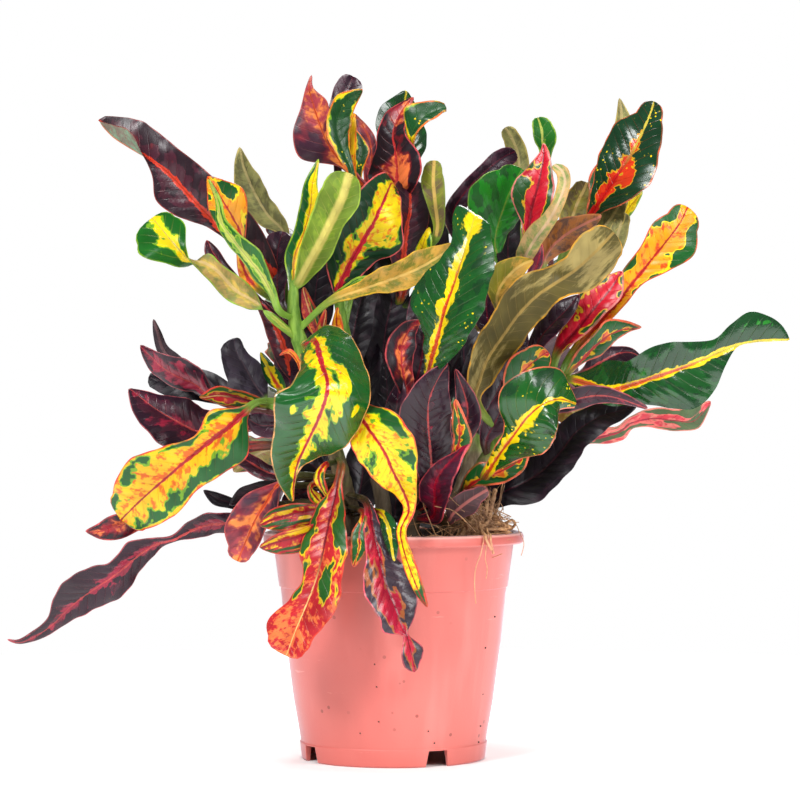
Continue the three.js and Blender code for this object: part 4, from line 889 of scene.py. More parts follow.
def leaf_finish(
    name,
    blade,
    patch,
    patchy=0.3,
    rim_patchy=0.6,
    between=None,
    grain=(0.14, 0.13),
    rim_gap=0.0,
    flush=None,
    flushed=0.0,
    flush_size=0.15,
    rib=(170, 20, 25),
    rib_wide=0.9,
    flame=0.8,
    halo=None,
    halo_wide=1.5,
    soft=0.0,
    veined=0.1,
    margin=None,
    margin_wide=0.7,
    flecks=None,
    flecked=0.0,
    stalk=(118, 156, 56),
    below=(92, 92, 50),
    below_blotch=(68, 62, 38),
    below_rib=(170, 150, 90),
    below_band=0.8,
    below_share=0.8,
    rough=0.3,
    level=0.4,
    rib_tip=None,
):
    """A croton leaf's colours: a blade with patches along its side veins, a midrib and a margin."""
    f = Finish("leaf_" + name)
    FINISHES[name] = f
    rib_off = f.value("rib")
    side = f.math("ABSOLUTE", rib_off)
    edge = f.value("edge")
    along = f.value("along")
    reach = f.value("reach")
    seed = f.value("seed")
    share = f.math("DIVIDE", side, f.plus(f.plus(side, edge), 0.3))
    slant = f.minus(reach, f.times(side, VEIN_SLANT))
    lean = f.minus(reach, f.times(side, PATCH_SLANT))
    drawn = f.vector(f.times(rib_off, grain[0]), f.times(lean, grain[1]), seed)
    blotch = f.noise(drawn, 1.0, 2.5, 0.5)
    broad = f.noise(f.vector(rib_off, lean, f.plus(seed, 7.3)), 0.09, 2.0)
    fine = f.noise(f.vector(rib_off, slant, seed), 0.5, 2.0)
    tone = f.noise(f.vector(f.times(rib_off, 0.3), reach, seed), 0.16, 2.0)
    off_vein = f.math("ABSOLUTE", f.minus(f.math("FRACT", f.math("DIVIDE", slant, VEIN_GAP)), 0.5))
    vein = f.times(f.step(off_vein, 0.01, 0.07, 1, 0), f.step(share, 0.35, 0.95, 1, 0.1))

    # The blade: its ground colour, a flush on it, patches with a paler rim, and flecks.
    painted = f.minus(f.value("dark"), f.value("light"))
    toward_edge = f.times(share, rim_patchy - patchy)
    toward_edge = f.minus(toward_edge, f.step(share, 0.82, 0.97, 0, rim_gap))
    amount = f.plus(f.plus(toward_edge, patchy - 0.5), painted)
    cover = f.plus(f.times(amount, 0.7), blotch)
    colour = blade
    if flush:
        glow = f.noise(f.vector(f.times(rib_off, 0.9), lean, seed), flush_size, 3.0, 0.6)
        glow = f.plus(glow, f.value("warm"))
        colour = f.mix(f.step(glow, 0.6 - 0.35 * flushed, 0.74 - 0.35 * flushed), colour, flush)
    if between:
        colour = f.mix(f.step(cover, 0.43 - soft, 0.46), colour, between)
    colour = f.mix(f.step(cover, 0.49 - soft / 2, 0.52 + soft), colour, patch)
    if flecks:
        dots = f.cells(f.vector(rib_off, reach, seed), 0.42)
        dots = f.step(dots, 0.14 + 0.2 * flecked, 0.24 + 0.2 * flecked, 1, 0)
        dots = f.times(dots, f.step(broad, 0.56 - 0.2 * flecked, 0.66 - 0.2 * flecked))
        colour = f.mix(dots, colour, flecks)

    # The midrib: ragged, narrower toward the tip, with a halo round it and a deeper middle.
    ragged = f.step(f.noise(f.vector(rib_off, slant, seed), 0.22, 2.0), 0.4, 0.65, 0, flame)
    width = f.plus(f.times(fine, rib_wide), rib_wide * 0.4)
    width = f.plus(width, f.times(vein, flame * 0.35))
    width = f.times(f.step(along, 0.1, 1.0, 1, 0.25), f.plus(width, ragged))
    if halo:
        swell = f.times(f.step(along, 0.1, 0.5, 0.45, 1), f.step(along, 0.6, 1.0, 1, 0.1))
        swell = f.times(swell, f.step(blotch, 0.3, 0.7, 0.1, halo_wide))
        around = f.minus(f.minus(side, f.times(width, 1.2)), swell)
        colour = f.mix(f.step(around, -0.2, 0.3, 0.95, 0), colour, halo)
    colour = f.mix(f.times(vein, veined), colour, halo or rib)
    deep = tuple(0.66 * part for part in rib)
    rib_colour = f.mix(f.step(side, 0.15, 0.4, 0.6, 0), rib, deep)
    if rib_tip:
        rib_colour = f.mix(f.step(along, 0.55, 0.8), rib_colour, rib_tip)
    colour = f.mix(f.step(f.minus(side, width), -0.25, 0.2, 1, 0), colour, rib_colour)
    border = f.times(f.plus(fine, 0.4), margin_wide)
    on_border = f.step(f.minus(edge, border), -0.2, 0.25, 1, 0)
    on_border = f.times(on_border, f.step(tone, 0.38, 0.58, 0.35, 1))
    if margin:
        colour = f.mix(on_border, colour, margin)

    # The underside: dull and blotched, with pale veins.
    stain = f.plus(f.noise(drawn, 1.3, 4.0, 0.65), f.times(painted, 0.4))
    lower = f.mix(below_share, colour, f.mix(f.step(stain, 0.4, 0.62), below, below_blotch))
    lower = f.mix(f.times(vein, 0.2), lower, below_rib)
    lower = f.mix(f.step(side, below_band * 0.6, below_band * 1.3, 0.85, 0), lower, below_rib)
    if margin:
        lower = f.mix(f.times(on_border, 0.8), lower, margin)
    under = f.value("under")
    colour = f.mix(under, colour, lower)

    # The stalk, darker low down as painted shade, the shading from place to place, the gloss, and
    # the relief of veins and pores.
    stalk_colour = f.mix(f.step(f.height(), 0.13, 0.2), SHADED_LOW_STALK, stalk)
    colour = f.mix(f.value("stalk"), colour, stalk_colour)
    shade = f.step(broad, 0.3, 0.7, 0.8, 1.16)
    colour = f.mix(1.0, colour, f.vector(shade, shade, shade), "MULTIPLY")
    gloss = f.plus(f.step(blotch, 0.3, 0.7, rough, rough + 0.1), f.times(under, 0.2))
    f.set(Base_Color=colour, Roughness=gloss, Specular_IOR_Level=level)
    relief = f.minus(f.times(blotch, 0.4), f.times(vein, 0.35))
    pores = f.times(f.noise(f.place(), 1500.0, 2.0), 0.1)
    f.bump(f.plus(relief, pores), 0.0005, 0.8)


# A stalk's colour low on the plant: painted shade near the soil.
SHADED_LOW_STALK = (66, 58, 32)
PATCH_SLANT = 0.4
GREEN = (16, 82, 28)
DARK_GREEN = (12, 52, 26)
LEAF_GREEN = (110, 160, 24)
YELLOW = (240, 208, 10)
ORANGE = (232, 126, 14)
PURPLE = (37, 11, 29)
MAUVE = (60, 21, 38)
BLACKISH = (22, 15, 25)
OLIVE = (110, 100, 44)
PALE_OLIVE = (142, 138, 80)
TAN = (186, 148, 80)
BROWN = (84, 58, 32)

leaf_finish(
    "green_heart", YELLOW, GREEN, 0.08, 1.25, between=LEAF_GREEN, flush=ORANGE, flushed=0.2,
    flush_size=0.35, rib=(180, 22, 36), rib_wide=1.7, flame=0.6, margin=(230, 160, 90), below=OLIVE,
    rough=0.16, level=0.65, veined=0.04,
)
leaf_finish(
    "gold_green", YELLOW, GREEN, 0.1, 0.76, between=LEAF_GREEN, rim_gap=0.45, flush=ORANGE,
    flushed=0.25, flush_size=0.4, rib=(182, 14, 20), margin=(220, 66, 50), rib_wide=1.4, flame=0.6,
)
leaf_finish(
    "orange_gold", (230, 178, 12), GREEN, 0.1, 0.76, between=LEAF_GREEN, rim_gap=0.45,
    flush=(218, 98, 14), flushed=0.3, flush_size=0.3, rib=(172, 14, 24), margin=(206, 50, 40),
    rib_wide=1.6, flame=0.6,
)
leaf_finish(
    "crimson_rib_gold", YELLOW, DARK_GREEN, 0.12, 0.8, between=LEAF_GREEN, flush=ORANGE,
    flushed=0.22, flush_size=0.3, rib=(196, 12, 42), rib_wide=1.6, flame=0.9, margin=(222, 90, 90),
    margin_wide=0.9,
)
leaf_finish(
    "spoon", YELLOW, (16, 90, 20), 0.1, 1.2, between=LEAF_GREEN, rib=(222, 200, 84),
    margin=(130, 170, 40), below=TAN, below_blotch=(132, 128, 66), below_rib=(200, 170, 110),
    stalk=(122, 156, 54),
)
leaf_finish(
    "orange_green", (238, 156, 14), GREEN, 0.0, 0.5, between=YELLOW, flush=(218, 72, 16),
    flushed=0.25, flush_size=0.25, rib=(190, 30, 20), margin=(210, 76, 36), rib_wide=1.2,
)
leaf_finish(
    "deep_green", (18, 76, 28), (12, 60, 24), 0.5, 0.6, rib=(212, 92, 44), halo=YELLOW,
    halo_wide=1.6, flame=0.2, rib_wide=1.3, rough=0.14, level=0.7, veined=0.02, below=(80, 100, 50),
    below_blotch=(60, 84, 40), flush=(34, 122, 36), flushed=-0.1, flush_size=0.07,
    rib_tip=(200, 184, 50),
)
leaf_finish(
    "bright_green", (16, 122, 20), (12, 84, 22), 0.25, 0.6, rib=(150, 170, 60), halo=(60, 140, 30),
    halo_wide=1.2, flame=0.2, rib_wide=0.5, margin=(120, 160, 60), margin_wide=0.5, veined=0.04,
    below=(80, 100, 50), below_blotch=(60, 84, 40),
)
leaf_finish(
    "green_gold_rib", (18, 78, 26), (12, 62, 24), 0.3, 0.5, rib=(208, 72, 26), halo=YELLOW,
    halo_wide=4.0, rib_wide=1.3, flame=0.4, flecks=YELLOW, flecked=0.03, rough=0.2, level=0.5,
    veined=0.03, flush=YELLOW, flushed=-0.4, rib_tip=(206, 190, 50),
)
leaf_finish(
    "green_speckled", (20, 80, 24), (12, 60, 24), 0.3, 0.5, rib=(212, 84, 26), halo=YELLOW,
    halo_wide=4.0, flecks=YELLOW, flecked=0.2, margin=(222, 112, 76), rough=0.16, level=0.6,
    veined=0.04, flush=YELLOW, flushed=-0.3, flame=0.6,
)
leaf_finish(
    "gold_edged", (16, 70, 26), YELLOW, -0.1, 0.72, between=LEAF_GREEN, rib=(60, 110, 34),
    rib_wide=0.4, flame=0.1, margin=(222, 110, 40), margin_wide=0.9, flecks=YELLOW, flecked=0.1,
    below=(206, 160, 40), below_blotch=(150, 130, 40),
)
leaf_finish(
    "young", (90, 150, 30), (26, 98, 22), 0.35, 0.8, between=(140, 176, 44), rib=(196, 200, 100),
    halo=(180, 190, 80), flame=0.3, margin=(150, 180, 54), below=(104, 126, 16),
    below_blotch=(116, 138, 26), below_rib=(204, 188, 96), below_band=2.3, stalk=(126, 170, 60),
)
leaf_finish(
    "half_gold", YELLOW, GREEN, 0.2, 0.66, between=LEAF_GREEN, flush=(222, 180, 20), flushed=0.2,
    flush_size=0.3, rib=(224, 150, 26), flame=0.3, margin=(150, 180, 40), rib_wide=0.6,
)
leaf_finish(
    "purple", PURPLE, (62, 30, 46), 0.4, 0.5, rib=(110, 16, 40), flame=0.2, rib_wide=0.6,
    veined=0.04, margin=(104, 40, 60), margin_wide=0.4, below=(84, 54, 62),
    below_blotch=(70, 44, 52), below_rib=(130, 80, 84), rough=0.26, stalk=(92, 52, 54),
)
leaf_finish(
    "purple_pink", MAUVE, PURPLE, 0.3, 0.9, flush=(140, 28, 54), flushed=0.1, rib=(202, 72, 70),
    rib_wide=0.7, flame=0.4, veined=0.04, margin=(172, 78, 86), margin_wide=0.4,
    below=(110, 76, 80), below_blotch=(84, 60, 62), below_rib=(184, 104, 98), rough=0.26,
    stalk=(110, 56, 58),
)
leaf_finish(
    "purple_orange", (66, 26, 40), (38, 16, 28), 0.3, 0.7, flush=(104, 24, 36), flushed=0.1,
    rib=(204, 56, 32), flame=1.3, rib_wide=2.2, veined=0.03, margin=(144, 60, 56), margin_wide=0.5,
    below=(120, 158, 126), below_blotch=(124, 112, 96), below_rib=(214, 110, 60), below_share=0.95,
)
leaf_finish(
    "black", BLACKISH, (38, 22, 34), 0.35, 0.4, rib=(76, 22, 42), flame=0.1, rib_wide=0.5,
    veined=0.03, below=(62, 46, 54), below_blotch=(48, 36, 42), below_rib=(96, 68, 72), rough=0.34,
    level=0.35,
)
leaf_finish(
    "slate", (60, 52, 66), (38, 30, 44), 0.35, 0.5, rib=(110, 84, 96), flame=0.1, rib_wide=0.4,
    veined=0.03, below=(84, 78, 88), below_blotch=(66, 58, 68),
)
leaf_finish(
    "crimson", (110, 14, 46), (66, 22, 42), 0.3, 0.8, soft=0.08, flush=(158, 26, 54), flushed=0.2,
    rib=(176, 8, 44), margin=(206, 74, 84), flame=0.4, below=(140, 84, 78),
    below_blotch=(104, 60, 60), below_rib=(190, 84, 84),
)
leaf_finish(
    "crimson_grey", (150, 14, 44), (54, 42, 52), 0.25, 0.75, between=(150, 84, 44),
    grain=(0.14, 0.07), flush=(190, 40, 60), flushed=0.3, rib=(120, 4, 30), margin=(202, 80, 92),
    flame=0.4, below=(120, 84, 84), below_blotch=(90, 66, 70), rough=0.2,
)
leaf_finish(
    "crimson_pink", (196, 12, 40), (26, 78, 26), 0.16, 0.56, between=(222, 170, 34),
    flush=(214, 52, 62), flushed=0.15, rib=(150, 4, 32), margin=(224, 120, 116), margin_wide=0.9,
    rib_wide=1.4, flame=0.7, below=(150, 96, 84), below_blotch=(120, 74, 60),
)
leaf_finish(
    "red_orange", (178, 30, 40), (30, 84, 26), 0.14, 0.68, between=(206, 170, 24),
    grain=(0.17, 0.08), rim_gap=0.3, flush=(226, 112, 60), flushed=0.25, flush_size=0.3,
    rib=(130, 6, 32), rib_tip=(238, 190, 120), margin=(206, 60, 44), flame=0.4,
    below=(160, 100, 60), below_blotch=(120, 70, 44),
)
leaf_finish(
    "red_black", (146, 22, 40), (32, 18, 28), 0.3, 0.7, between=(104, 18, 32), soft=0.05,
    flush=(232, 118, 62), flushed=0.45, rib=(204, 50, 50), margin=(204, 74, 80), flame=0.6,
    below=(110, 72, 62), below_blotch=(80, 50, 50), stalk=(96, 52, 52),
)
leaf_finish(
    "red_flame_green", (216, 56, 20), (16, 56, 30), 0.1, 1.9, between=(216, 160, 24),
    grain=(0.12, 0.2), rib=(200, 22, 20), rib_wide=1.6, flame=1.2, margin=(214, 100, 64),
    flecks=YELLOW, flecked=0.12, below=PALE_OLIVE, below_blotch=OLIVE, rough=0.2,
    rib_tip=(206, 186, 70),
)
leaf_finish(
    "green_orange", (222, 104, 22), GREEN, 0.4, 1.0, between=(216, 174, 24), flush=(196, 36, 38),
    flushed=0.4, rib=(184, 36, 32), margin=(224, 98, 64), margin_wide=1.0, below=OLIVE,
    below_blotch=BROWN,
)
leaf_finish(
    "orange_purple", (166, 58, 68), (62, 30, 48), 0.26, 0.62, between=(124, 40, 54), soft=0.1,
    flush=(234, 132, 66), flushed=0.38, rib=(214, 76, 28), flame=0.9, margin=(190, 84, 76),
    below=(116, 92, 56), below_blotch=(90, 60, 44), below_rib=(206, 150, 76),
)
leaf_finish(
    "yellow_dotted", (238, 190, 10), GREEN, 0.05, 0.4, between=LEAF_GREEN, flecks=(212, 66, 18),
    flecked=0.5, rib=(222, 124, 14), margin=(222, 110, 22), flame=0.3, below=(180, 166, 60),
    below_blotch=(150, 130, 50),
)
leaf_finish(
    "striped", (222, 178, 16), (30, 74, 22), 0.45, 0.55, between=(164, 16, 36), grain=(0.5, 0.03),
    flush=(160, 12, 30), flushed=0.3, rib=(150, 10, 30), rib_wide=2.2, flame=0.3,
    margin=(190, 56, 46), below=(140, 120, 50), below_blotch=(110, 96, 40),
)
leaf_finish(
    "pink_striped", (202, 46, 62), (70, 92, 52), 0.4, 0.55, between=(224, 104, 98),
    grain=(0.3, 0.05), flush=(226, 126, 114), flushed=0.4, rib=(174, 16, 50), flame=0.4,
    margin=(224, 130, 112), below=(160, 110, 100), below_blotch=(130, 90, 80),
)
leaf_finish(
    "olive", (50, 86, 28), (156, 126, 30), 0.3, 0.4, rib=(182, 136, 40), margin=(206, 154, 40),
    below=(122, 112, 30), below_blotch=(80, 62, 26), below_rib=(156, 128, 60), below_share=0.96,
)
leaf_finish(
    "olive_fresh", (66, 110, 30), (110, 120, 40), 0.3, 0.4, rib=(182, 160, 70),
    margin=(120, 140, 50), below=(124, 130, 36), below_blotch=(106, 88, 58),
    below_rib=(206, 170, 88), below_band=0.9, below_share=0.96, rough=0.34, level=0.3,
)
leaf_finish(
    "tan_twist", (90, 120, 60), (186, 150, 90), 0.35, 0.45, rib=(200, 150, 110),
    margin=(214, 164, 90), below=(216, 178, 122), below_blotch=(140, 156, 86),
    below_rib=(224, 190, 150), below_share=0.96, rough=0.34, level=0.3,
)
leaf_finish(
    "olive_long", (66, 84, 30), (126, 110, 40), 0.3, 0.45, grain=(0.2, 0.05), rib=(190, 140, 60),
    margin=(220, 156, 40), margin_wide=0.9, below=(156, 138, 82), below_blotch=(84, 74, 32),
    below_rib=(158, 130, 66), below_share=0.96, level=0.25,
)
leaf_finish(
    "olive_tan", (72, 94, 28), (186, 136, 44), 0.35, 0.45, rib=(192, 126, 46),
    margin=(220, 170, 40), below=(190, 144, 58), below_blotch=(112, 112, 26),
    below_rib=(204, 166, 84), below_share=0.93, rough=0.32, level=0.3,
)
leaf_finish(
    "olive_pale", (60, 100, 40), (146, 146, 52), 0.3, 0.4, rib=(156, 146, 70),
    margin=(186, 166, 90), below=PALE_OLIVE, below_blotch=(100, 96, 58), below_rib=(172, 156, 102),
    below_share=0.93, rough=0.32,
)
leaf_finish(
    "olive_purple", (80, 60, 40), PURPLE, 0.4, 0.4, rib=(182, 80, 80), margin=(192, 116, 56),
    below=(176, 104, 36), below_blotch=(96, 62, 44), below_rib=(190, 110, 90), below_share=0.93,
)

bark = Finish("croton_bark")
here = bark.place()
grain = bark.noise(bark.stretch(here, (420, 420, 90)), 1.0, 4.0, 0.6)
patchwork = bark.noise(here, 70.0, 3.0)
rise = bark.plus(bark.height(), bark.times(patchwork, 0.06))
colour = bark.mix(bark.step(grain, 0.3, 0.7), (96, 78, 56), (146, 126, 92))
green = bark.mix(bark.step(grain, 0.3, 0.7), (80, 122, 30), (134, 170, 60))
colour = bark.mix(bark.step(rise, 0.17, 0.2), colour, green)
# Painted shade: the stems turn near black low down, where they stand in the shade of the leaves by
# the soil.
colour = bark.mix(bark.step(rise, 0.14, 0.19, 0.75, 0), colour, (52, 42, 32))
bark.set(Base_Color=colour, Roughness=bark.step(grain, 0.3, 0.7, 0.75, 0.5))
bark.bump(grain, 0.0005)


def trunk(name, branches):
    """A stem's branches as round rods, ringed where old leaves have dropped."""
    rods = []
    for branch in branches:
        path = smooth_path([point[:3] for point in branch], STEM_STEPS)
        radii = smooth_path([[point[3]] for point in branch], STEM_STEPS)[:, 0]
        steps = np.linalg.norm(np.diff(path, axis=0), axis=1)
        travel = np.concatenate([[0], np.cumsum(steps)])
        radii = radii * (1 + NODE_SWELL * np.cos(2 * np.pi * travel / NODE_GAP) ** NODE_SHARP)
        radii[-len(STEM_TIP):] *= STEM_TIP
        rods.append(tube("rod", path, radii, STEM_SIDES))
    return join(rods, name)


def grow(name, upright, rows, painted, far_rows=(), far_looks=()):
    """A leafy stem: its trunk, a piece for each leaf of some size, and one for the small leaves."""
    node = "leafy_stem_" + name
    branches = [[(x, y * spread(z), z, radius) for x, y, z, radius in branch] for branch in upright]
    stem = trunk("stem_" + name, branches)
    bpy.ops.object.shade_smooth()
    dress(stem, bark)
    keep(stem, node)
    small = []
    for number, (key, height, side, tip, look, *points) in enumerate(rows):
        stations = near_stations(branches, key, height, side, points)
        seed = LEAF_SEED * number + ord(key[0])
        piece = leaf("leaf_" + key, stations, side, tip == "r", seed, painted.get(key, ()))
        dress(piece, FINISHES[look])
        if max(piece.dimensions) < SMALL_LEAF * MM:
            small.append(piece)
        else:
            keep(piece, node)
    if small:
        keep(join(small, "small_leaves_" + name), node)
    back = []
    for number, row in enumerate(far_rows):
        stations = far_stations(branches, row)
        seed = FAR_SEED * number + FIRST_FAR_SEED
        piece = leaf("leaf_" + row[0], stations, 1, False, seed)
        dress(piece, FINISHES[far_looks[number % len(far_looks)]])
        back.append(piece)
    if back:
        keep(join(back, "back_leaves_" + name), node)


# Each branch is points up its middle, with the radius there, all in millimetres.
FRONT_LEFT_STEM = [
    [[-20, -14, 76.3, 4.6], [-20, -14, 116, 4.6], [-24, -16, 135, 4.4], [-29, -18, 155, 4.2],
     [-37, -20, 182, 4.1], [-45, -22, 205, 4], [-48.5, -23, 222, 3.2], [-48, -23, 237, 2.2]],
    [[-29, -18, 155, 3.2], [-43, -14, 167, 2.9], [-56, -11, 174, 2.5], [-65, -10, 178, 1.8]],
]
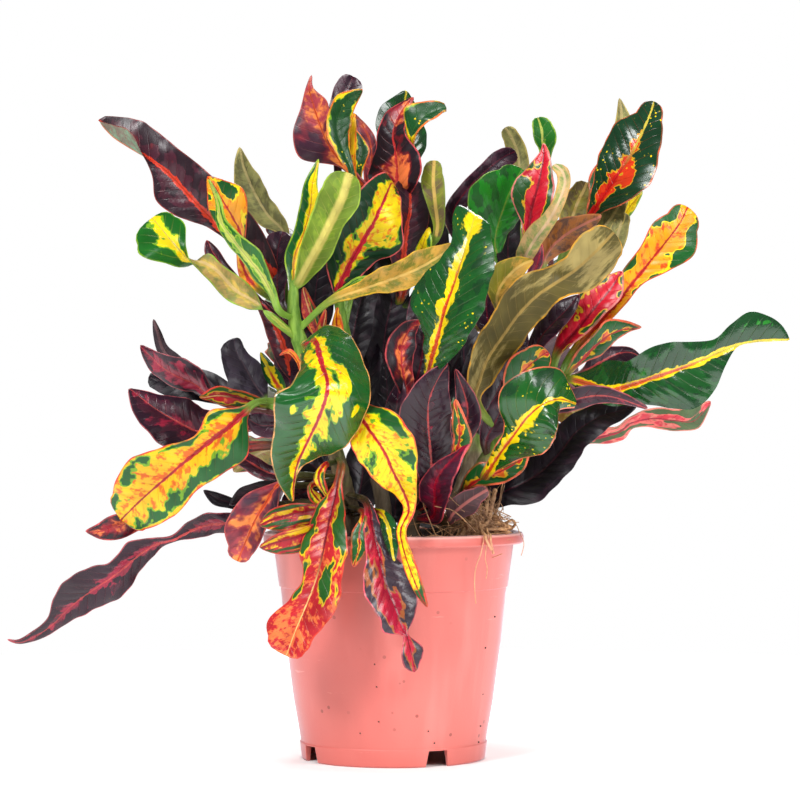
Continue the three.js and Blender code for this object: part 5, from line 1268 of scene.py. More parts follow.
# A row is a leaf's name, its height on the stem, whether the upper side (1) or the underside (-1)
# is seen, a pointed or round tip, its look, and stations out along the rib. A station is x, z, the
# depth, and how far the left and right edges lie out. Two more numbers lay the edges further back.
FRONT_LEFT_LEAVES = [
    ["a01", 204, 1, "p", "green_heart", [-43, 206, -32, 3, 3], [-39, 208, -42, 13, 9, 4, 5],
     [-36, 197, -52, 20, 12, 5, 6], [-33, 185, -57, 21, 19, 6, 7], [-37, 171, -59, 21, 24, 5, 5],
     [-43, 158, -60, 14, 18, 3, 3], [-48, 147, -60, 3, 14, 0, 2], [-50, 137, -60, 1, 8, 0, 1],
     [-50.5, 128, -60, 0.6, 1.5]],
    ["a02", 207, 1, "r", "spoon", [-62, 221, -27, 1.7, 1.7], [-70, 228, -29, -3.5, -5],
     [-79, 233.5, -31, -6.5, -6.5, -2, 2], [-88, 243, -34, -4, -6.5, -2, 2],
     [-95, 247.3, -36, -5, -5, -1, 1], [-101.5, 248.6, -37, 3.5, 0.8, 6, -4],
     [-107, 253.5, -38, 9.5, 4.5, 3, -2], [-112, 259, -39, 15, 10.5], [-116.5, 264.5, -38, 13.5, 9],
     [-121, 269.5, -37, 1, 1]],
    ["a03", 218, 1, "p", "young", [-57, 223, -27, 1.7, 1.7], [-61, 233, -29, 2.5, 2.5],
     [-66, 241.5, -31, 4.5, 4], [-73, 250, -32, 3.5, 7], [-80, 259, -33, 3.5, 4],
     [-86, 268, -33, 3, 2.5], [-87.5, 278, -33, 1.6, 1.6], [-92.5, 289, -32, 0.5, 0.5]],
    ["a04", 230, 1, "p", "half_gold", [-50, 240, -20, 3, 3], [-49.5, 250, -19, 5, 5],
     [-45, 262, -19, 5, 5], [-41.5, 275, -20, 5.5, 5], [-40.5, 287, -21, 4, 2.5],
     [-37.5, 299, -21, 0.5, 0.5]],
    ["a05", 233, -1, "r", "young", [-47, 238, -25, 3, 3], [-42, 247, -28, 6.5, 6],
     [-36, 258, -31, 9.5, 7.5], [-30, 270, -33, 10.5, 6.5], [-25, 281, -33, 11.5, 8.5],
     [-22, 292, -32, 1, 1]],
    ["a06", 212, -1, "p", "olive_tan", [-37, 224, -28, 1.7, 1.7], [-29, 229, -31, 2.5, 2],
     [-15, 234, -34, 5, 3.5], [-2, 238.5, -37, 7.5, 6], [12, 244, -39, 8.5, 8],
     [24, 251, -38, 6, 5], [33, 257, -35, 0.8, 0.8]],
    ["a07", 213, 1, "p", "young", [-33, 227, -25, 1.5, 1.5], [-25, 232.5, -26, 2.5, 3],
     [-17, 237, -27, 3, 2.5], [-9, 240.5, -27, 0.6, 0.6]],
    ["a08", 176, 1, "r", "orange_gold", [-58, 178, -24, 1.7, 1.7], [-68, 177.5, -29, 1.7, 1.7],
     [-75, 172, -32, 3.5, 4], [-84, 164, -35, 17, 12, 2, 2], [-95, 155.5, -37, 17, 7],
     [-107, 145.5, -38, 15, 12.5], [-118, 136, -39, 17, 18.5], [-127, 128, -38, 15.5, 16],
     [-132, 123, -36, 12, 12, 3, 3], [-136, 119, -33, 6, 8]],
    ["a09", 154, 1, "p", "red_black", [-60, 156, -20, 2, 2], [-86, 152, -22, 4, 4],
     [-106, 140, -25, 5, 5], [-122, 125, -27, 6, 7], [-132, 118, -28, 6.5, 6],
     [-140, 114.5, -28, 6, 6.5], [-147, 113, -28, 4, 4], [-154, 113, -28, 0.5, 0.5]],
    ["a10", 165, 1, "p", "purple_pink", [-70, 165, -14, 2, 2], [-84, 163, -16, 6, 6],
     [-97, 162.5, -18, 10, 12], [-108, 167.5, -20, 13, 12.5], [-119, 174, -21, 10.5, 8.5],
     [-127, 180, -21, 6, 4], [-132.5, 184, -20, 0.6, 0.6]],
    ["a11", 172, 1, "p", "purple_pink", [-74, 174, -9, 1.7, 1.7], [-90, 179.5, -11, 2, 3],
     [-99, 186.5, -12, 4, 8], [-108, 190.5, -13, 6, 9], [-116, 195.5, -13, 6, 7],
     [-122, 201.5, -13, 4, 3], [-126.5, 206, -12, 0.6, 0.6]],
    ["a12", 173, -1, "p", "black", [-80, 176, -4, 2, 2], [-98, 187, -2, 5, 5],
     [-109, 196, -1, 5, 5], [-115.5, 204, 0, 3, 3], [-118, 212, 0, 2.2, 2],
     [-120, 219, 0, 0.5, 0.5]],
    ["a13", 174, 1, "r", "black", [-72, 175, -2, 2, 2], [-85, 181, 3, 5, 7], [-97, 185, 5, 7, 9],
     [-110, 187, 6, 7, 7], [-118, 188.5, 6, 5, 4], [-122.5, 190, 6, 1, 1]],
    ["a14", 176, 1, "p", "red_orange", [-70, 178, -15, 3, 3], [-79, 180, -17, 5, 4],
     [-88, 181, -18, 4, 4.5], [-97, 180, -18, 0.6, 0.6]],
    ["a15", 177, 1, "r", "slate", [-65, 180, -6, 2.5, 2.5], [-70, 187, -4, 10, 8],
     [-75, 196, -3, 10, 6], [-79, 203.5, -3, 7, 4.5], [-80, 209.5, -3, 1, 1]],
    ["a16", 175, 1, "p", "green_gold_rib", [-56, 183, -8, 2, 2], [-59, 188, -8, 4, 4],
     [-62.5, 195, -7, 3.5, 3], [-66.5, 202.5, -6, 0.5, 0.5]],
    ["a17", 140, 1, "r", "orange_purple", [-48, 141, -32, 1.7, 1.7], [-58, 136, -38, 3, 2],
     [-64, 127, -42, 7, 10], [-69, 119, -44, 7, 12], [-73, 110, -45, 7, 12.5],
     [-76, 103, -45, 5.5, 7], [-78, 98, -44, 1, 1]],
    ["a18", 130, 1, "p", "black", [-60, 126, -22, 1.7, 1.7], [-74, 125, -22, 2, 2],
     [-82, 127, -23, 2.5, 3], [-89, 129.5, -24, 3, 3], [-95, 133.5, -24, 0.5, 0.5]],
    ["a19", 136, 1, "p", "black", [-54, 136, -24, 2, 2], [-66, 134, -27, 4, 4],
     [-75, 131, -28, 4, 4], [-82, 126, -28, 0.6, 0.6]],
    ["a20", 143, 1, "p", "purple_pink", [-48, 140, -20, 2, 2], [-62, 142, -17, 4, 4],
     [-76, 149.5, -15, 4, 3.5], [-90, 154, -13, 1, 1]],
    ["a21", 128, 1, "p", "striped", [-30, 126, -36, 2, 2], [-38, 123.5, -44, 6, 3.5],
     [-50, 121.5, -51, 7.5, 5.5], [-60, 119, -55, 6, 5], [-67, 116, -56, 1, 1]],
    ["a22", 124, 1, "p", "striped", [-30, 120, -40, 2, 2], [-38, 114.5, -56, 4, 3],
     [-49, 110, -61, 7.5, 4.5], [-59, 107.5, -62, 6.5, 3.5], [-67, 105, -61, 0.8, 0.8]],
    ["a23", 150, 1, "r", "red_orange", [-26, 146, -36, 2, 2], [-28, 135, -46, 2.5, 3],
     [-31, 122, -58, 7.5, 8], [-33.5, 110, -66, 10.5, 11], [-36, 98, -70, 12, 11],
     [-39.5, 86, -71, 13.5, 7], [-44, 74.5, -72, 13.5, 9], [-48.5, 64, -72, 9.5, 15],
     [-51.5, 56, -72, 8, 12], [-53.5, 50.5, -71, 1, 1]],
    ["a24", 132, 1, "p", "crimson_grey", [-14, 128, -50, 2, 2], [-11, 116, -66, 4, 4],
     [-8, 104, -70, 6, 6], [-6, 94, -71, 10, 9.5], [-3, 84, -72, 14, 11], [1, 74, -72, 11.5, 9.5],
     [4, 66, -72, 6, 9], [6, 61, -72, 1.5, 1.5], [8.5, 53, -72, 6.5, 5], [10, 46, -72, 3, 4.5],
     [10.5, 42.5, -71, 1, 1]],
    ["a25", 126, 1, "p", "green_orange", [-15, 122, -58, 1.7, 1.7], [-17, 112, -69, 3, 4],
     [-17, 105, -71, 4, 4.5], [-19, 98, -71, 2, 2.5], [-20, 95, -71, 0.6, 0.6]],
    ["a26", 122, 1, "p", "deep_green", [-8, 123, -50, 1.7, 1.7], [-3, 117, -67, 4, 4],
     [-1, 108, -70, 3.5, 3.5], [0.5, 98, -71, 0.8, 0.8]],
    ["a27", 128, 1, "p", "purple_pink", [-60, 122, -28, 2.2, 2.2], [-82, 117.5, -31, 5, 4.5],
     [-92, 116.5, -31, 5.5, 6.3], [-101, 113.5, -31, 4.2, 4.3], [-110, 109.3, -31, 1.8, 1.8],
     [-118, 107, -30, 3, 3.4], [-127, 101.5, -30, 5.7, 7.5], [-137, 93, -29, 9, 7],
     [-147, 86, -28, 10.7, 10], [-156, 79.8, -27, 8.3, 12], [-163, 74, -26, 6, 8.5],
     [-170, 67, -25, 4, 4], [-178, 61.5, -24, 2.7, 2.7], [-187, 57.8, -23, 1.2, 1.2],
     [-193, 58.8, -22, 0.5, 0.5]],
    ["a34", 134, 1, "p", "purple", [-38, 136, -12, 3, 3], [-44, 133, -12, 5, 5],
     [-50, 130, -12, 5, 5], [-56, 128, -12, 1, 1]],
    ["a35", 200, 1, "p", "orange_green", [-46, 190, -46, 0.8, 0.8], [-47.5, 197.5, -46, 1, 1],
     [-52, 203, -45, 1.3, 1.3], [-57, 201, -44, 0.5, 0.5]],
    ["a30", 170, 1, "p", "purple", [-50, 168, -22, 3, 3], [-60, 166, -26, 6, 5],
     [-68, 166.5, -28, 5, 6], [-74, 171, -28, 1, 1]],
    ["a33", 140, 1, "p", "black", [-34, 141, -14, 4, 4], [-42, 147, -11, 7, 7],
     [-52, 153, -9, 6, 6], [-60, 158, -8, 1, 1]],
    ["a28", 148, 1, "p", "gold_green", [-34, 146, -34, 1.5, 1.5], [-37, 139, -38, 3, 3],
     [-32, 129, -40, 0.6, 0.6]],
    ["a29", 140, 1, "p", "gold_green", [-41, 136, -36, 1.5, 1.5], [-39, 130, -38, 3, 3],
     [-34, 125, -38, 0.6, 0.6]],
]
# A painted mark is its kind, its place along and across the blade, how long and how broad it is,
# and how much of it there is.
FRONT_LEFT_PAINTED = {
    "a01": [("light", 0.5, -0.4, 0.05, 0.12, 0.7), ("light", 0.36, 0.6, 0.07, 0.2, 0.6),
        ("light", 0.62, 0.6, 0.025, 0.1, 1.0), ("light", 0.56, -0.72, 0.02, 0.09, 0.9),
        ("light", 0.3, 0.8, 0.02, 0.06, 0.9), ("dark", 0.3, -0.9, 0.3, 0.5, 0.5),
        ("dark", 0.8, 0.8, 0.2, 0.6, 0.5)],
    "a04": [("dark", 0.5, -1, 0.7, 0.65, 0.7), ("light", 0.5, 0.5, 0.6, 0.5, 0.5)],
    "a08": [("dark", 0.4, -0.75, 0.13, 0.4, 0.5), ("dark", 0.3, 0.95, 0.07, 0.35, 0.5),
        ("light", 0.66, 0.35, 0.22, 0.5, 0.3), ("warm", 0.4, 0.1, 0.3, 0.3, 0.12),
        ("light", 0.42, 1, 0.12, 0.12, 0.6)],
    "a10": [("warm", 0.45, 0, 0.3, 0.3, 0.2), ("light", 0.5, 0, 0.6, 1, 0.25)],
    "a11": [("warm", 0.6, 0, 0.4, 1, 0.25), ("light", 0.6, 0, 0.4, 1, 0.5)],
    "a17": [("dark", 0.35, -0.7, 0.2, 0.5, 0.5), ("warm", 0.7, 0.1, 0.2, 0.5, 0.12)],
    "a21": [("light", 0.6, 0.1, 0.5, 0.4, 0.4), ("warm", 0.6, 0, 0.5, 0.25, 0.25)],
    "a22": [("light", 0.6, 0.1, 0.5, 0.4, 0.4), ("warm", 0.6, 0, 0.5, 0.25, 0.25)],
    "a20": [("light", 0.5, 0, 1, 2, 0.4)],
    "a23": [("light", 0.95, 0, 0.2, 2, 0.6), ("warm", 0.93, 0.2, 0.1, 1.2, 0.12),
        ("light", 0.1, 0, 0.15, 2, 0.5), ("dark", 0.72, -0.45, 0.07, 0.2, 0.6),
        ("dark", 0.4, -0.95, 0.12, 0.3, 0.5), ("dark", 0.5, 0.95, 0.08, 0.25, 0.5)],
    "a24": [("dark", 0.5, -1, 0.25, 0.8, 0.7), ("light", 0.5, 0.5, 0.3, 0.5, 0.2),
        ("warm", 0.93, 0, 0.06, 2, 0.2)],
    "a27": [("warm", 0.62, 0, 0.4, 0.4, 0.35), ("warm", 0.2, 0, 0.1, 2, 0.3)],
}
grow("front_left", FRONT_LEFT_STEM, FRONT_LEFT_LEAVES, FRONT_LEFT_PAINTED)

# Back left leafy stem
# A slimmer croton shoot that leans out behind the first, fixed in the soil like the rest.
# Long dark purple leaves stand out to the left, and green and red ones hang down behind.
BACK_LEFT_STEM = [
    [[-26, 14, 76.3, 4.2], [-26, 14, 116, 4.2], [-34, 15, 150, 4], [-44, 16, 185, 3.8],
     [-52, 15, 212, 3.3], [-56, 13, 236, 2.6], [-56, 12, 252, 1.8]],
]
BACK_LEFT_LEAVES = [
    ["b01", 236, 1, "p", "purple_orange", [-59, 240, 4, 3, 3], [-66, 247, 0, 5, 8],
     [-76, 256.5, -3, 3.5, 13], [-88, 266.5, -6, 4, 16], [-101, 279.5, -8, 12, 15],
     [-109, 288.5, -8, 14, 13.5], [-116, 295, -8, 7, 12.5], [-124, 300, -8, 0.5, 14, -3, 2],
     [-133, 305.5, -8, -6, 14, -6, 2], [-141, 311, -7, -5, 12, -5, 2], [-147.5, 318.5, -6, 0.6, 3]],
    ["b02", 226, 1, "p", "orange_green", [-66, 233, -3, 2, 2], [-73, 241, -6, 4, 4],
     [-76, 251, -9, 2.5, 2.5], [-76, 261, -12, 3.5, 2.5], [-80, 269.5, -14, 8.5, 8],
     [-85, 278, -15, 9, 11.5], [-89, 285, -15, 5, 6], [-93, 290.5, -15, 0.5, 0.5]],
    ["b08", 216, 1, "p", "purple_pink", [-60, 221, -9, 2, 2], [-70, 230, -15, 2.5, 2.5],
     [-78, 236.5, -18, 3, 3], [-86, 246, -20, 3, 3], [-91, 253, -20, 3.5, 3],
     [-93.5, 258.5, -20, 0.6, 0.6]],
    ["b03", 248, -1, "p", "olive_pale", [-55, 262, 13, 2.5, 3], [-63, 271, 12, 7, 6],
     [-70, 283, 11, 8.5, 6], [-75, 295, 11, 5, 4], [-77, 305, 11, 0.5, 0.5]],
    ["b04", 224, 1, "r", "purple", [-57, 228, 5, 3, 3], [-58, 239, 3, 5, 5], [-58, 250, 2, 6.5, 6],
     [-57, 257, 3, 7, 6], [-55, 262.5, 5, 2, 2]],
    ["b05", 186, 1, "p", "purple_orange", [-49, 190, 9, 3, 3], [-53, 200, 7, 6, 9],
     [-57, 211, 6, 6, 10], [-63, 221, 5, 3.5, 7], [-70, 230, 5, 0.6, 0.6]],
    ["b06", 208, 1, "p", "black", [-43, 214, 9, 6, 8], [-40, 226, 8, 9, 10], [-38, 240, 8, 8, 8],
     [-35, 252, 8, 1, 1]],
    ["b10", 120, 1, "p", "black", [-30, 127, 12, 4, 4], [-32, 138, 12, 7, 7], [-33, 151, 12, 7, 7],
     [-34, 163, 12, 1, 1]],
    ["b09", 172, 1, "p", "purple", [-49, 180, 8, 4, 4], [-52, 190, 8, 7, 7], [-54, 200, 8, 6, 6],
     [-57, 212, 8, 1, 1]],
    ["b07", 122, 1, "p", "black", [-20, 125, 16, 7, 7], [-16, 136, 17, 9, 9], [-15, 152, 18, 8, 8],
     [-16, 170, 18, 1, 1]],
]
BACK_LEFT_PAINTED = {
    "b02": [("dark", 0.78, -0.7, 0.06, 0.35, 0.8), ("dark", 0.9, 0.5, 0.05, 0.3, 0.8),
        ("dark", 0.65, 0.8, 0.05, 0.3, 0.6)],
}
# A far row is a name, height on the stem, direction, slope, bend, length, half width, and the roll
# at the base and the tip. Angles are in degrees.
BACK_LEFT_FAR_LEAVES = [
    ["b11", 150, 122, 14, 55, 94, 12, 10, -70], ["b12", 168, 100, 34, 58, 95, 13, -15, 60],
    ["b13", 182, 76, 22, 50, 84, 12, 10, 60], ["b14", 198, 88, 44, 62, 88, 14, 0, -80],
    ["b15", 214, 104, 38, 48, 82, 12, 10, 50], ["b16", 230, 122, 54, 60, 70, 11, -10, 70],
    ["b17", 242, 70, 50, 50, 66, 10, 0, -50], ["b18", 134, 96, 20, 40, 88, 12, 0, 60],
    ["b19", 250, 96, 62, 60, 54, 9, 0, 60], ["b21", 146, 140, 26, 40, 78, 12, 0, 50],
    ["b22", 160, 158, 24, 40, 80, 11, 10, -50],
]
BACK_LEFT_FAR_LOOKS = [
    "purple", "green_gold_rib", "red_black", "gold_green", "purple_orange", "olive",
]
FAR_MARKS = [0.14, 0.36, 0.62, 0.86, 1]  # shares of a far leaf's length, and its widths there
FAR_WIDTHS = [0.2, 0.85, 1, 0.75, 0.06]
DROOP = 0.75
SWAY = 0.25
SWAY_BENDS = 4


def far_stations(branches, row):
    """Rib points and edges of a leaf on the far side, which arches out and down."""
    _, height, turn, slope, bend, length, half, roll_base, roll_tip = row
    start = axis_point(branches, height)
    out = np.array([math.cos(math.radians(turn)), math.sin(math.radians(turn)), 0])
    side = np.array([-out[1], out[0], 0])
    found = [(start, side * PETIOLE_START, -side * PETIOLE_START)]
    rib = start
    before = 0
    for mark, share in zip(FAR_MARKS, FAR_WIDTHS):
        tilt = math.radians(slope - bend * DROOP * (mark + before))
        along = np.array([out[0] * math.cos(tilt), out[1] * math.cos(tilt), math.sin(tilt)])
        along = unit(along + side * SWAY * math.sin(mark * SWAY_BENDS + turn))
        rib = rib + along * (mark - before) * length
        level = unit(side - along * np.dot(side, along))
        up = unit(np.cross(along, level))
        roll = math.radians(roll_base + (roll_tip - roll_base) * mark)
        across = level * math.cos(roll) + up * math.sin(roll)
        face = unit(np.cross(along, across))
        wide = half * share
        found.append((rib, across * wide + face * FOLD * wide, -across * wide + face * FOLD * wide))
        before = mark
    return [np.array(part) for part in zip(*found)]


grow(
    "back_left", BACK_LEFT_STEM, BACK_LEFT_LEAVES, BACK_LEFT_PAINTED,
    BACK_LEFT_FAR_LEAVES, BACK_LEFT_FAR_LOOKS,
)

# Middle left leafy stem
# A straight woody croton shoot, rooted in the soil, with a tuft of leaves above the whole plant.
# One yellow leaf hangs low in front and ends in a narrow twisted strip.
MIDDLE_LEFT_STEM = [
    [[-4, -2, 76.3, 4], [-4, -2, 116, 4], [-10, -1, 150, 3.8], [-18, 0, 185, 3.5],
     [-25, -2, 215, 3], [-28, -4, 233, 2.2]],
]
MIDDLE_LEFT_LEAVES = [
    ["c01", 229, 1, "r", "crimson_rib_gold", [-28, 234, -10, 3, 3], [-24, 243, -13, 11, 7],
     [-18, 254, -16, 17, 12], [-12, 264, -18, 14.5, 18], [-7, 274, -18, 13, 13],
     [-3, 283, -14, 11, 6, 2, 2], [-1, 287, -8, 6, 5], [1, 284, -3, 1, 1]],
    ["c02", 226, 1, "p", "orange_purple", [-20, 256, -2, 2, 2], [-12, 280, 0, 2, 2],
     [-18, 289, -2, 2, 2], [-26, 297.5, -3, 3, 2], [-33, 307, -4, 15.5, 1.5], [-37, 317, -4, 14, 5],
     [-40, 326, -4, 7, 7], [-42, 334.5, -4, 2, 2], [-41, 341, -4, 0.5, 0.5]],
    ["c03", 220, 1, "r", "purple", [-28, 300, 5, 2, 2], [-29, 318, 5, 4, 3], [-28, 326, 5, 4, 6],
     [-23, 334, 5, 6.5, 7.5], [-20, 340.5, 5, 1, 1]],
    ["c04", 224, 1, "p", "gold_edged", [-19, 270, -4, 1.7, 1.7], [-21, 291, -7, 2, 2],
     [-24, 300, -8, 3.5, 3], [-27.5, 310, -9, 5, 5.5], [-28, 319, -9, 5, 6.5],
     [-24, 327, -9, 5.5, 5.5], [-15.5, 334, -8, 0.6, 0.6]],
    ["c05", 222, 1, "p", "yellow_dotted", [-18, 268, 0, 1.7, 1.7], [-20, 290, -2, 1.7, 1.7],
     [-21, 302, -4, 2.5, 2], [-21, 312, -4, 2.5, 2.5], [-19.5, 322, -4, 0.6, 0.6]],
    ["c06", 218, 1, "p", "gold_edged", [-17, 270, 4, 1.7, 1.7], [-18, 289, 2, 2, 2],
     [-17, 297, 1, 3, 3], [-16, 304, 1, 3.5, 4], [-19, 313.5, 1, 0.6, 0.6]],
    ["c07", 214, 1, "p", "orange_purple", [-14, 270, 8, 2, 2], [-12, 292, 8, 3, 3],
     [-11, 302, 8, 5.5, 3], [-13, 311, 8, 5, 3], [-20, 322, 8, 0.6, 0.6]],
    ["c08", 205, 1, "p", "red_orange", [-33, 206, -6, 2, 2], [-38, 214, -9, 3.5, 3],
     [-42, 224, -11, 4, 3], [-45, 235, -13, 0.8, 0.8]],
    ["c09", 200, 1, "p", "red_orange", [-33, 203, -10, 1.7, 1.7], [-36, 211, -15, 3, 2.5],
     [-34, 224, -17, 0.6, 0.6]],
    ["c10", 198, 1, "p", "orange_green", [-27, 204, -10, 1.7, 1.7], [-28, 214, -13, 3, 3],
     [-28, 225, -14, 0.6, 0.6]],
    ["c11", 178, 1, "p", "black", [-20, 184, 3, 3, 3], [-22, 198, 3, 7, 7], [-20, 212, 4, 9, 9],
     [-17, 226, 5, 8, 8], [-12, 242, 6, 6, 6], [-9, 254, 7, 1, 1]],
    ["c13", 152, 1, "p", "black", [-6, 162, 4, 4, 4], [-3, 172, 4, 6, 6], [-3, 184, 4, 6, 6],
     [-4, 197, 4, 1, 1]],
    ["c14", 118, 1, "p", "black", [0, 120, 6, 4, 4], [1, 129, 6, 7, 7], [2, 139, 6, 6, 6],
     [2, 149, 6, 1, 1]],
    ["c12", 184, 1, "p", "gold_green", [-22, 182, -24, 2, 2], [-18, 173, -44, 7, 7, 2, 4],
     [-12, 164, -52, 15, 11], [-5, 154, -58, 16.5, 14], [0, 143, -63, 13, 10],
     [6, 131, -67, 6, 4.5], [8, 123, -70, 2.5, 3], [4, 113, -74, 2.5, 2.5], [6, 102, -76, 3, 2.5],
     [9, 93, -77, 3.5, 3], [13, 83, -77, 2.5, 2.5], [17, 75, -77, 0.6, 0.6]],
]
MIDDLE_LEFT_PAINTED = {
    "c01": [("dark", 0.4, -1, 0.5, 0.5, 0.45), ("light", 0.64, 0.6, 0.12, 0.5, 0.6),
        ("dark", 0.88, 0.6, 0.05, 0.3, 0.5), ("dark", 0.3, 1, 0.18, 0.6, 0.6),
        ("warm", 0.35, 0, 0.15, 0.4, 0.12)],
    "c12": [("dark", 0.12, -0.6, 0.07, 0.6, 0.5), ("light", 0.8, 0, 0.16, 2, 0.5),
        ("dark", 1, 0, 0.05, 2, 0.9), ("dark", 0.3, -0.75, 0.15, 0.2, 0.3),
        ("light", 0.3, 0.95, 0.2, 0.6, 0.8)],
    "c04": [("light", 0.7, 0.3, 0.3, 0.7, 0.35)],
    "c02": [("light", 0.6, -0.2, 0.1, 0.5, 0.5), ("warm", 0.58, -0.1, 0.12, 0.6, 0.3),
        ("dark", 0.72, -0.5, 0.06, 0.4, 0.6), ("light", 0.88, 0.3, 0.08, 0.9, 0.5)],
}
grow("middle_left", MIDDLE_LEFT_STEM, MIDDLE_LEFT_LEAVES, MIDDLE_LEFT_PAINTED)

# Middle back leafy stem
# The tallest woody croton shoot, rooted behind the others, with a hooded red leaf at the top.
# Its back carries a ladder of arching leaves.
MIDDLE_BACK_STEM = [
    [[6, 18, 76.3, 4.2], [6, 18, 116, 4.2], [5, 17, 160, 4], [2, 15, 210, 3.4],
     [2, 12, 250, 2.6], [2, 8, 274, 1.8]],
]
MIDDLE_BACK_LEAVES = [
    ["d01", 268, 1, "p", "red_black", [2, 280, 6, 6, 6], [2, 288, 3, 14, 11], [2, 295, 2, 14, 12],
     [1, 304, 1, 11, 9], [0, 312, 1, 8, 6.5], [3, 321, 2, 6, 4], [10, 330, 2, 0.6, 0.6]],
    ["d02", 262, 1, "p", "deep_green", [5, 286, 14, 3, 3], [5, 300, 15, 9, 9],
     [4, 312, 15, 13, 12.5], [5, 323, 15, 11, 8.5], [6, 333.5, 14, 0.8, 0.8]],
    ["d03", 264, 1, "r", "gold_edged", [8, 296, 6, 2, 2], [9, 310, -2, 2, 2],
     [13, 318.5, -4, 10, 3.5], [19, 322.5, -4, 6.5, 4], [24, 324.5, -4, 3.5, 2.5],
     [26.5, 324.5, -4, 0.8, 0.8]],
    ["d04", 246, -1, "r", "olive_fresh", [18, 256, 2, 2, 2], [22, 264, 0, 2.2, 3],
     [21, 276, -1, 4, 5], [20, 286, -1, 6, 5.5], [20, 292, -1, 5.5, 4.5],
     [20.5, 298.5, -1, 0.8, 0.8]],
    ["d05", 226, 1, "r", "purple_orange", [5, 236, 6, 4, 4], [5, 250, 3, 7, 7], [6, 263, 1, 9, 9],
     [8, 273, 1, 10, 10.5], [8, 283, 3, 8, 7], [8, 289, 5, 2, 2]],
    ["d06", 238, 1, "p", "half_gold", [11, 246, 2, 2, 2], [15, 256, -2, 3, 4],
     [18, 265, -2, 0.6, 0.6]],
    ["d07", 182, 1, "p", "black", [-1, 188, 12, 4, 4], [-5, 200, 11, 8, 8], [-4, 214, 11, 9, 9],
     [-1, 228, 12, 9, 9], [0, 242, 13, 9, 8], [1, 256, 13, 4, 4], [3, 266, 13, 1, 1]],
    ["d09", 150, 1, "p", "black", [-4, 158, 12, 3, 3], [-10, 170, 10, 8, 8], [-13, 186, 10, 9, 9],
     [-12, 202, 10, 6, 6], [-10, 212, 11, 1, 1]],
    ["d10", 222, 1, "p", "black", [14, 232, 11, 4, 4], [20, 246, 10, 7, 7], [21, 262, 10, 6, 6],
     [20, 276, 10, 1, 1]],
    ["d19", 120, 1, "p", "black", [0, 124, 22, 6, 6], [-1, 142, 24, 8, 8], [0, 156, 25, 7, 7],
     [2, 168, 25, 1, 1]],
    ["d08", 176, 1, "p", "purple", [9, 182, 8, 3, 3], [13, 194, 3, 8, 7], [15, 208, 2, 9, 8],
     [15, 224, 3, 8, 8], [14, 242, 4, 1, 1]],
]
MIDDLE_BACK_PAINTED = {
    "d03": [("light", 0.9, 0, 0.12, 2, 0.45), ("dark", 0.66, 0, 0.07, 3, 0.9)],
    "d01": [("light", 0.36, 0.1, 0.16, 0.5, 0.6), ("warm", 0.34, 0.3, 0.14, 0.35, 0.3),
        ("dark", 0.62, -0.35, 0.1, 0.45, 0.8), ("light", 0.86, 0.1, 0.1, 1, 0.5),
        ("dark", 0.45, 0.95, 0.2, 0.3, 0.6)],
}
MIDDLE_BACK_FAR_LEAVES = [
    ["d11", 138, 72, 26, 52, 82, 12, 0, -60], ["d12", 154, 52, 16, 48, 92, 13, 10, 60],
    ["d13", 172, 104, 34, 62, 86, 12, -10, -70], ["d14", 192, 80, 28, 50, 91, 14, 0, 70],
    ["d15", 212, 44, 46, 58, 80, 12, 10, -60], ["d16", 228, 112, 44, 46, 84, 12, 0, 60],
    ["d17", 244, 64, 60, 52, 72, 11, 0, -60], ["d18", 258, 118, 64, 45, 64, 10, 0, 60],
]
MIDDLE_BACK_FAR_LOOKS = [
    "deep_green", "crimson", "purple", "gold_green", "green_heart", "purple_orange",
]
grow(
    "middle_back", MIDDLE_BACK_STEM, MIDDLE_BACK_LEAVES, MIDDLE_BACK_PAINTED,
    MIDDLE_BACK_FAR_LEAVES, MIDDLE_BACK_FAR_LOOKS,
)

